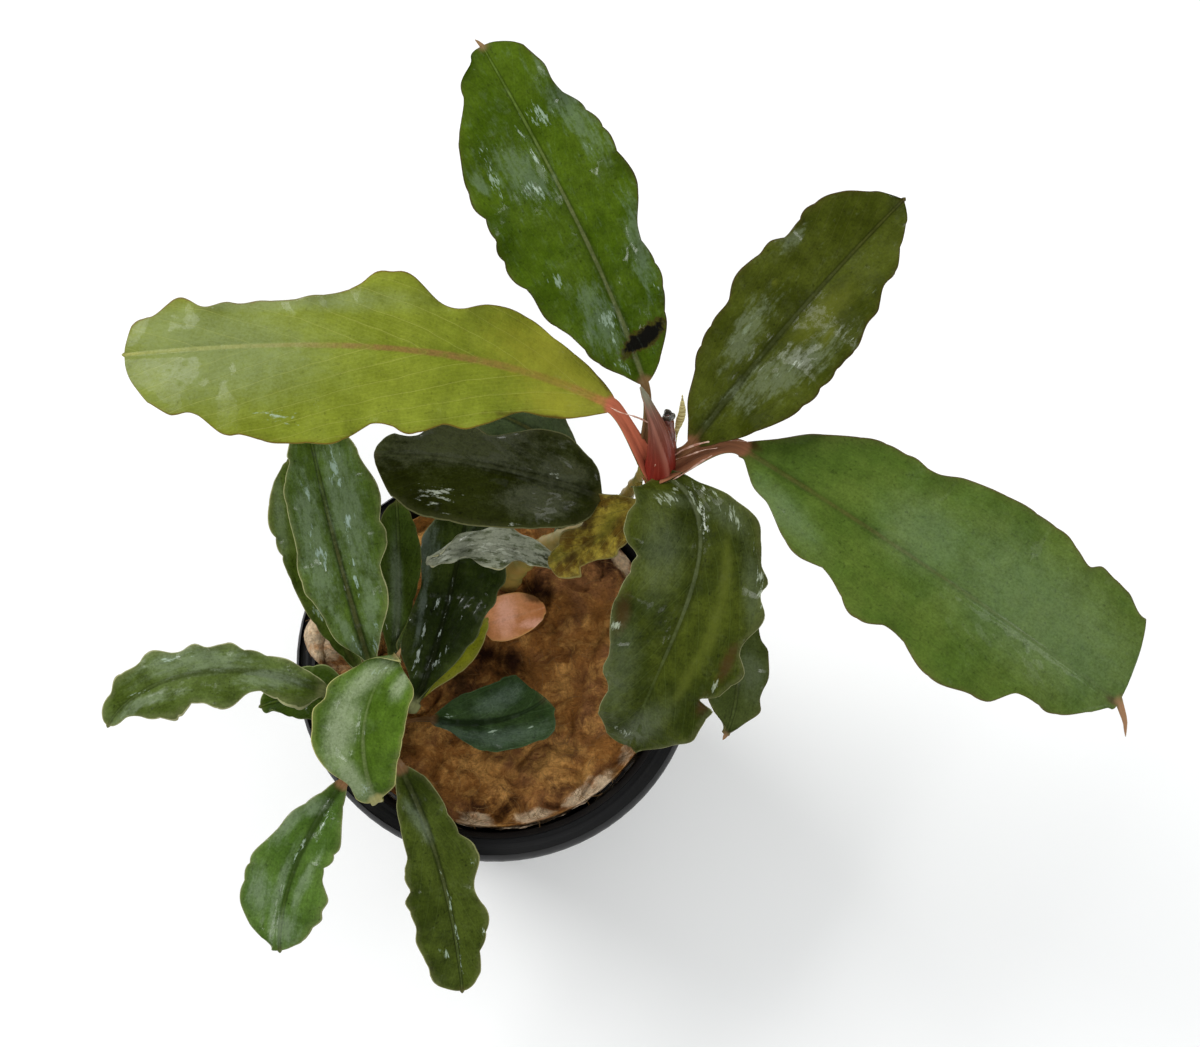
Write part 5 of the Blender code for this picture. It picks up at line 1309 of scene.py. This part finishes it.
def pot_section(settings):
    """The outer side of the pot's section, from the middle of its floor to the bottom of its lip.

    Each point says whether the faces from it to the next hold slots: 1 in the wall, 2 in the floor.
    """
    top = settings.height/MM-RIM_THICK
    rim = settings.rim_radius/MM
    neck = rim-RIM_WIDTH+WALL-0.4

    def wall(height):
        return BASE_RADIUS+(neck-BASE_RADIUS)*height/top

    floor = [(r, 0) for r in POT_FLOOR_RADII]+[(17.3, 0.05), (17.8, 0.35)]
    rise = [(wall(h), h) for h in POT_WALL_HEIGHTS]
    turn = [(neck+0.02, top-0.5), (neck+0.35, top-0.06), (neck+0.9, top), (rim-1.6, top),
            (rim-1.16, top-0.12), (rim-1.05, top-0.5), (rim-1, top-1.2),
            (rim-1, settings.height/MM-LIP_DROP)]
    points = floor+rise+turn
    slots = []
    for (r, z), (r2, z2) in zip(points, points[1:]+points[-1:]):
        in_row = any(low <= z and z2 <= high for low, high in SLOT_ROWS) and z < z2
        in_ring = z2 == 0 and FLOOR_SLOT_RADII[0] <= r and r2 <= FLOOR_SLOT_RADII[1]
        slots.append(1.0 if in_row else 2.0 if in_ring else 0)
    return [(r*MM, 0, z*MM) for r, z in points], slots


def make_pot(settings):
    points, slots = pot_section(settings)
    base = base_object("pot_section", points, [(i, i+1) for i in range(len(points)-1)], {"slot": slots})
    plastic = plain_material("black_plastic", settings.colour, 0.46, srgb(58, 54, 46), 0.07,
                             surface={"Specular IOR Level": 0.22})
    columns = settings.slots*COLUMNS_PER_SLOT
    nodes_modifier(base, pot_tree(), {"Columns": columns, "Columns per slot": COLUMNS_PER_SLOT,
                                      "Turn": math.radians(POT_TURN), "Material": plastic})
    thicken = base.modifiers.new("wall", "SOLIDIFY")
    thicken.thickness = settings.wall
    thicken.offset = -1.0
    round_edges = base.modifiers.new("edges", "BEVEL")
    round_edges.width = EDGE_ROUNDING*MM
    round_edges.segments = 3
    round_edges.limit_method = "ANGLE"
    round_edges.angle_limit = math.radians(ROUNDED_ABOVE)
    pot = run_modifiers("pot_moulding", base, "black_plastic", "pot")
    pot.data.set_sharp_from_angle(angle=math.radians(SHARP_ABOVE))


def tube_tree():
    """A round or flattened tube along a path, as wide as its points say, with rings and unevenness."""
    inputs = (("Path", GEOMETRY, None), ("Sides", WHOLE, 20), ("Steps", WHOLE, 60),
              ("Flatness", NUMBER, 1), ("Ring apart", NUMBER, 0.0028), ("Ring height", NUMBER, 0),
              ("Uneven", NUMBER, 0), ("Uneven size", NUMBER, 0.002), ("Material", MATERIAL, None))
    g, given, result = new_group("tube_on_path", "GeometryNodeTree", inputs, (("Tube", GEOMETRY, None),))
    path = g.add("GeometryNodeMeshToCurve", {"Mesh": given["Path"]})
    path = g.add("GeometryNodeResampleCurve", {"Curve": path, "Count": given["Steps"]})
    gone = g.add("GeometryNodeSplineParameter", out=1)
    path = g.add("GeometryNodeStoreNamedAttribute", {"Geometry": path, "Name": "along", "Value": gone},
                 data_type="FLOAT", domain="POINT")
    wide = g.stored("wide")
    circle = g.add("GeometryNodeCurvePrimitiveCircle", {"Resolution": given["Sides"], "Radius": 1.0})
    flat = g.join(1, given["Flatness"], 1)
    circle = g.add("GeometryNodeTransform", {"Geometry": circle, "Scale": flat})
    tube = g.add("GeometryNodeCurveToMesh", {"Curve": path, "Profile Curve": circle, "Scale": wide,
                                             "Fill Caps": True})
    along = g.stored("along")
    place = g.add("GeometryNodeInputPosition")
    pace = g.math("DIVIDE", 1, given["Uneven size"])
    sway = g.add("ShaderNodeTexNoise", {"Vector": place, "Scale": pace, "Detail": 3.0})
    beat = g.math("FRACT", g.plus(g.math("DIVIDE", along, given["Ring apart"]), g.times(sway, 0.4)))
    ring = g.ease(g.math("ABSOLUTE", g.less(beat, 0.5)), 0, 0.16, 1, 0)
    push = g.plus(g.times(ring, given["Ring height"]), g.times(g.less(sway, 0.5), given["Uneven"]))
    offset = g.scale(g.add("GeometryNodeInputNormal"), push)
    tube = g.add("GeometryNodeSetPosition", {"Geometry": tube, "Offset": offset})
    return hand_out(g, result, tube, given["Material"])


def tube_piece(name, paths, slot, nodes, values, detail=40):
    """One piece of tubes along smooth paths, each given as its points and half-widths in millimetres."""
    points, edges, wide = [], [], []
    places = np.linspace(0, 1, detail)
    for path, radii in paths:
        start = len(points)
        points += [tuple(p*MM) for p in curve_through(path, places)]
        wide += list(np.interp(places, np.linspace(0, 1, len(radii)), radii)*MM)
        edges += [(start+i, start+i+1) for i in range(detail-1)]
    base = base_object(name+"_path", points, edges, {"wide": wide})
    nodes_modifier(base, shared_group("tube_on_path", tube_tree), values)
    run_modifiers(name, base, slot, *nodes)


def make_stems(settings):
    bark = plain_material("stem_bark", settings.bark, 0.42, srgb(84, 62, 26), 0.4,
                          (srgb(152, 128, 60), 2.2, 4, 0.6),
                          surface={"Coat Weight": 0.2, "Coat Roughness": 0.2})
    values = {"Sides": 28, "Steps": 150, "Ring apart": settings.ring_apart, "Ring height": 0.00016,
              "Uneven": 0.00045, "Uneven size": 0.0022, "Material": bark}
    tube_piece("tall_stem_bark", [(TALL_STEM, TALL_STEM_RADII)], "stem", ("tall_stem",), values)
    tube_piece("low_stem_bark", [(LOW_STEM, LOW_STEM_RADII)], "stem", ("low_stem",), values)


def spear_mesh(rows=90, ring=72):
    """The rolled young leaf: a cone of tissue wound on itself, whose outer edge stands off a little."""
    places = np.linspace(0, 1, rows)
    path = curve_through(YOUNG_LEAF, places)
    along = np.gradient(path, axis=0)
    along /= np.linalg.norm(along, axis=1, keepdims=True)
    right = np.cross(along, YOUNG_LEAF_FACING)
    right /= np.linalg.norm(right, axis=1, keepdims=True)
    up = np.cross(right, along)
    wide = np.interp(places, np.linspace(0, 1, len(YOUNG_LEAF_RADII)), YOUNG_LEAF_RADII)[:, None]
    angle = np.linspace(0, 2*math.pi, ring, endpoint=False)[None, :]
    start = 0.6+1.9*places[:, None]
    turn = ((angle-start)/(2*math.pi)) % 1
    step = 0.13*smoothstep(turn, 0, 0.03)*(1-turn)
    ribs = 0.018*np.cos(15*angle)*(1-places[:, None])
    radius = wide*(0.92+step+ribs+0.03*np.sin(3*angle+9*places[:, None]))
    round_it = np.cos(angle)[..., None]*right[:, None]+np.sin(angle)[..., None]*up[:, None]
    points = path[:, None]+radius[..., None]*round_it
    lip = np.exp(-((turn-0.03)/0.035)**2)
    roll = np.stack([places[:, None]+0*angle, lip, angle+0*places[:, None]], axis=-1)
    return points.reshape(-1, 3)*MM, rows, ring, {"roll": roll.reshape(-1, 3)}


def spear_material(settings):
    made, g, shader = new_material("young_leaf_tissue")
    share, lip, angle = g.split(g.attribute("roll"))
    streaks = g.noise(g.join(g.times(angle, 2.2), g.times(share, 1.5)), 0.35, 3, 0.6)
    tone = g.mix(g.ease(share, 0.25, 0.8), settings.maroon, srgb(118, 76, 62))
    tone = g.mix(g.ease(share, 0.7, 0.96), tone, srgb(134, 134, 112))
    tone = g.mix(g.ease(share, 0, 0.42, 0.9, 0), tone, srgb(148, 40, 32))
    tone = g.shade(tone, g.times(streaks, 0.9, 0.55))
    pale = g.times(g.ease(streaks, 0.54, 0.68), g.ease(share, 0.3, 0.9, 0.05, 0.4))
    tone = g.mix(g.most(pale, g.times(lip, 0.4)), tone, srgb(186, 124, 104))
    bump(g, shader, g.times(streaks, 0.09, g.times(g.noise(g.millimetres(), 0.5), 0.03)))
    g.fill(shader, {"Base Color": tone, "Roughness": 0.4, "Specular IOR Level": 0.1, "Coat Weight": 0.15,
                    "Coat Roughness": 0.12})
    return made


def make_young_leaf(settings):
    points, faces, values = close_ends(*spear_mesh())
    spear = new_piece("young_leaf_spear", points, faces, spear_material(settings), values)
    fit_piece(spear, "young_leaf", "young_leaf")
    stub = plain_material("old_stalk_tissue", srgb(128, 66, 50), 0.4, srgb(30, 22, 16), 0.3,
                          (srgb(92, 44, 34), 1.2, 3, 0.6), surface={"Coat Weight": 0.6})
    values = {"Sides": 22, "Steps": 46, "Flatness": 0.8, "Uneven": 0.00035, "Uneven size": 0.0012,
              "Material": stub}
    tube_piece("old_stalk", [(OLD_STALK, OLD_STALK_RADII)], "young_leaf", (), values)
    make_knob()


def make_knob():
    """The withered dark end of the old stalk: a small curled shiny cup with pale grey painted sheen."""
    end, before = np.array(OLD_STALK[-1]), np.array(OLD_STALK[-2])
    along = (end-before)/np.linalg.norm(end-before)
    right = np.cross(along, (0, 0, 1))
    right /= np.linalg.norm(right)
    up = np.cross(right, along)
    ring = 40
    angle = np.linspace(0, 2*math.pi, ring, endpoint=False)
    shape = curve_through(KNOB_SECTION, np.linspace(0, 1, 34))
    radius = shape[:, :1]*(1+0.12*np.sin(3*angle+1)+0.07*np.sin(5*angle+2))
    height = shape[:, 1:]+0.16*np.sin(2*angle+0.5)*smoothstep(shape[:, 1:], 0, 0.5)
    round_it = np.cos(angle)[:, None]*right+np.sin(angle)[:, None]*up
    points = end+radius[..., None]*round_it+height[..., None]*along
    points, faces, _ = close_ends(points.reshape(-1, 3)*MM, len(shape), ring, {})
    # painted sheen: pale grey patches from the grime group, laid on strongly over the dark shiny tissue
    shell = plain_material("withered_tissue", srgb(34, 26, 20), 0.25, srgb(150, 150, 140), 0.9,
                           (srgb(60, 52, 40), 0.5, 3, 0.6), surface={"Coat Weight": 0.9})
    fit_piece(new_piece("withered_stalk_end", points, faces, shell), "young_leaf")


def make_dry_sheath(settings):
    straw, g, shader = new_material("dry_sheath_paper")
    bands = g.ease(g.noise(g.stretch(g.millimetres(), (0.35, 0.35, 3)), 0.8, 3, 0.6), 0.4, 0.62)
    bump(g, shader, g.times(bands, 0.05))
    g.fill(shader, {"Base Color": g.mix(bands, settings.straw, srgb(158, 138, 74)), "Roughness": 0.6})
    values = {"Sides": 24, "Steps": 90, "Flatness": 0.5, "Ring apart": 0.0006, "Ring height": 0.00003,
              "Uneven": 0.00022, "Uneven size": 0.0011, "Material": straw}
    tube_piece("dry_sheath_spike", [(DRY_SHEATH, DRY_SHEATH_RADII)], "dry_sheath", ("dry_sheath",), values)


def make_strands(settings):
    paper, g, shader = new_material("papery_membrane")
    spot = g.millimetres()
    tone = g.mix(g.ease(g.noise(spot, 0.7, 3), 0.4, 0.65), srgb(206, 170, 150), srgb(168, 112, 88))
    bump(g, shader, g.times(g.noise(spot, 0.3, 3), 0.05))
    g.fill(shader, {"Base Color": tone, "Roughness": 0.35, "Coat Weight": 0.5})
    values = {"Sides": 14, "Steps": 44, "Flatness": 0.28, "Uneven": 0.0003, "Uneven size": 0.0012,
              "Material": paper}
    tube_piece("papery_strands", list(STRANDS.values()), "dry_sheath", (), values)


def fibre_tree():
    """Lays stray bent fibres over the clean and upper wool."""
    inputs = (("Wool", GEOMETRY, None), ("Density", NUMBER, 1000), ("Length", NUMBER, 0.002),
              ("Thickness", NUMBER, 0.00003), ("Seed", WHOLE, 0), ("Material", MATERIAL, None))
    g, given, result = new_group("wool_fibres", "GeometryNodeTree", inputs, (("Fibres", GEOMETRY, None),))
    upward = g.split(g.add("GeometryNodeInputNormal"))[2]
    dark, _, cream = g.split(g.stored("stain", "FLOAT_VECTOR"))
    share = g.times(g.ease(upward, 0.1, 0.5), g.plus(g.times(cream, 2.2), 0.35))
    share = g.times(share, g.less(1, g.times(dark, 0.8)))
    density = g.times(given["Density"], share)
    spread = g.add("GeometryNodeDistributePointsOnFaces", {"Mesh": given["Wool"], "Density": density,
                                                           "Seed": given["Seed"]}, out=None).outputs
    bow = g.add("GeometryNodeCurveQuadraticBezier", {
        "Resolution": 5, "Start": (-0.5, 0, 0), "Middle": (0.05, 0.22, 0.16), "End": (0.5, 0.05, 0.02)})
    thin = g.math("DIVIDE", given["Thickness"], given["Length"])
    ends = g.add("GeometryNodeCurvePrimitiveCircle", {"Resolution": 3, "Radius": thin})
    fibre = g.add("GeometryNodeCurveToMesh", {"Curve": bow, "Profile Curve": ends, "Fill Caps": True})
    turn = g.add("FunctionNodeRandomValue", {0: (-0.25, -0.25, 0), 1: (0.25, 0.25, 6.283), "Seed": 3},
                 data_type="FLOAT_VECTOR")
    turn = g.add("FunctionNodeEulerToRotation", {0: turn})
    turn = g.add("FunctionNodeRotateRotation", {0: spread["Rotation"], 1: turn}, rotation_space="LOCAL")
    size = g.add("FunctionNodeRandomValue", {2: 0.5, 3: 1.5, "Seed": 5}, out=1, data_type="FLOAT")
    size = g.times(size, given["Length"])
    fibres = g.add("GeometryNodeInstanceOnPoints", {"Points": spread["Points"], "Instance": fibre,
                                                    "Rotation": turn, "Scale": size})
    return hand_out(g, result, fibres, given["Material"])


def make_wool(settings):
    points, rows, ring, stains = wool_mesh()
    wool = new_piece("rock_wool_felt", points, ring_faces(rows, ring), wool_material(settings), stains)
    fit_piece(wool, "rock_wool", "rock_wool")
    thread = plain_material("wool_fibre", srgb(136, 100, 54), 0.7, srgb(96, 70, 34), 0.9)
    base = bpy.data.objects.new("wool_copy", wool.data.copy())
    bpy.context.scene.collection.objects.link(base)
    values = {"Density": settings.density, "Length": settings.fibre_length, "Thickness": FIBRE_THICK*MM,
              "Seed": settings.seed, "Material": thread}
    nodes_modifier(base, fibre_tree(), values)
    run_modifiers("rock_wool_fibres", base, "rock_wool")


CAMERA_PLACE = (0.01348, -0.0661, 0.3616)
CAMERA_TILT = 15.0
CAMERA_LENS = 74.07
FLOOR_HALF = 3
LIGHTS_AIM = 0.06           # height that the lights point at
# Soft lights: place, size in metres, share of the window's strength
LIGHTS = {
    "window_left": ((-0.42, 0.30, 0.55), (0.34, 0.42), 1.3),
    "window_front": ((0.20, -0.55, 0.62), (0.16, 0.26), 0.5),
    "window_right": ((0.50, 0.18, 0.50), (0.2, 0.3), 0.3),
}


def make_stage(settings):
    scene = bpy.context.scene
    scene.view_settings.view_transform = "Standard"
    world = bpy.data.worlds.new("soft_sky")
    world.use_nodes = True
    sky = world.node_tree.nodes["Background"]
    sky.inputs["Color"].default_value = (0.96, 0.98, 1, 1)
    sky.inputs["Strength"].default_value = settings.sky
    scene.world = world
    floor_paint, g, shader = new_material("floor_paint")
    darker = [v*0.985 for v in settings.floor]
    tone = g.mix(g.noise(g.millimetres(), 60, 3), settings.floor, darker)
    g.fill(shader, {"Base Color": tone, "Roughness": 0.9, "Specular IOR Level": 0.1})
    mesh = bpy.data.meshes.new("floor")
    corners = ((-1, -1), (1, -1), (1, 1), (-1, 1))
    mesh.from_pydata([(x*FLOOR_HALF, y*FLOOR_HALF, 0) for x, y in corners], [], [(0, 1, 2, 3)])
    mesh.materials.append(floor_paint)
    floor = bpy.data.objects.new("floor", mesh)
    scene.collection.objects.link(floor)
    for name, (place, size, share) in LIGHTS.items():
        data = bpy.data.lights.new(name, "AREA")
        data.shape = "RECTANGLE"
        data.size, data.size_y = size
        data.energy = settings.window*share
        light = bpy.data.objects.new(name, data)
        light.location = place
        away = light.location.copy()
        away.z -= LIGHTS_AIM
        light.rotation_euler = away.to_track_quat("Z", "Y").to_euler()
        scene.collection.objects.link(light)
    camera = bpy.data.objects.new("camera", bpy.data.cameras.new("camera"))
    camera.data.lens = CAMERA_LENS
    camera.data.sensor_width = 36
    camera.data.clip_start = 0.01
    camera.location = CAMERA_PLACE
    camera.rotation_euler = (math.radians(CAMERA_TILT), 0, 0)
    scene.collection.objects.link(camera)
    scene.camera = camera


class PLANT_OT_make_pot(Operator):
    """Makes the net pot with its slotted wall and floor and its rim"""

    bl_idname = "plant.make_pot"
    bl_label = "Net pot"

    def execute(self, context):
        make_pot(context.scene.plant_pot)
        return {"FINISHED"}


class PLANT_OT_make_wool(Operator):
    """Makes the stained rock wool and its loose fibres"""

    bl_idname = "plant.make_wool"
    bl_label = "Rock wool"

    def execute(self, context):
        make_wool(context.scene.plant_wool)
        return {"FINISHED"}


class PLANT_OT_make_stems(Operator):
    """Makes the two creeping stems"""

    bl_idname = "plant.make_stems"
    bl_label = "Stems"

    def execute(self, context):
        make_stems(context.scene.plant_stems)
        return {"FINISHED"}


class PLANT_OT_make_leaves(Operator):
    """Makes every open leaf with its petiole"""

    bl_idname = "plant.make_leaves"
    bl_label = "Leaves"

    def execute(self, context):
        for name, leaf in LEAVES.items():
            make_leaf(name, leaf, context.scene.plant_leaves)
        return {"FINISHED"}


class PLANT_OT_make_young_leaf(Operator):
    """Makes the rolled young leaf and the withered stalk beside it"""

    bl_idname = "plant.make_young_leaf"
    bl_label = "Young leaf"

    def execute(self, context):
        make_young_leaf(context.scene.plant_stems)
        return {"FINISHED"}


class PLANT_OT_make_dry_sheath(Operator):
    """Makes the dry pointed sheath"""

    bl_idname = "plant.make_dry_sheath"
    bl_label = "Dry sheath"

    def execute(self, context):
        make_dry_sheath(context.scene.plant_stems)
        return {"FINISHED"}


class PLANT_OT_make_strands(Operator):
    """Makes the papery strands round the crowns"""

    bl_idname = "plant.make_strands"
    bl_label = "Papery strands"

    def execute(self, context):
        make_strands(context.scene.plant_stems)
        return {"FINISHED"}


class PLANT_OT_make_stage(Operator):
    """Makes the pale floor, the lights and the camera"""

    bl_idname = "plant.make_stage"
    bl_label = "Stage"

    def execute(self, context):
        make_stage(context.scene.plant_stage)
        return {"FINISHED"}


SETTINGS = {"plant_pot": PotSettings, "plant_wool": WoolSettings, "plant_leaves": LeafSettings,
            "plant_stems": StemSettings, "plant_stage": StageSettings}
OPERATORS = (PLANT_OT_make_pot, PLANT_OT_make_wool, PLANT_OT_make_stems, PLANT_OT_make_leaves,
             PLANT_OT_make_young_leaf, PLANT_OT_make_dry_sheath, PLANT_OT_make_strands, PLANT_OT_make_stage)


class VIEW3D_PT_potted_plant(Panel):
    """Lists the plant's settings and what makes each piece"""

    bl_label = "Potted plant"
    bl_space_type = "VIEW_3D"
    bl_region_type = "UI"
    bl_category = "Potted plant"

    def draw(self, context):
        for label, group in SETTINGS.items():
            box = self.layout.box()
            for name in group.__annotations__:
                box.prop(getattr(context.scene, label), name)
        for operator in OPERATORS:
            self.layout.operator(operator.bl_idname)


CLASSES = (*SETTINGS.values(), *OPERATORS, VIEW3D_PT_potted_plant)


def register():
    for item in CLASSES:
        bpy.utils.register_class(item)
    for label, group in SETTINGS.items():
        setattr(bpy.types.Scene, label, PointerProperty(type=group))


def unregister():
    for label in SETTINGS:
        delattr(bpy.types.Scene, label)
    for item in reversed(CLASSES):
        bpy.utils.unregister_class(item)


def main():
    register()
    bpy.ops.plant.make_pot()
    bpy.ops.plant.make_wool()
    bpy.ops.plant.make_stems()
    bpy.ops.plant.make_leaves()
    bpy.ops.plant.make_young_leaf()
    bpy.ops.plant.make_dry_sheath()
    bpy.ops.plant.make_strands()
    bpy.ops.plant.make_stage()


if __name__ == "__main__":
    main()
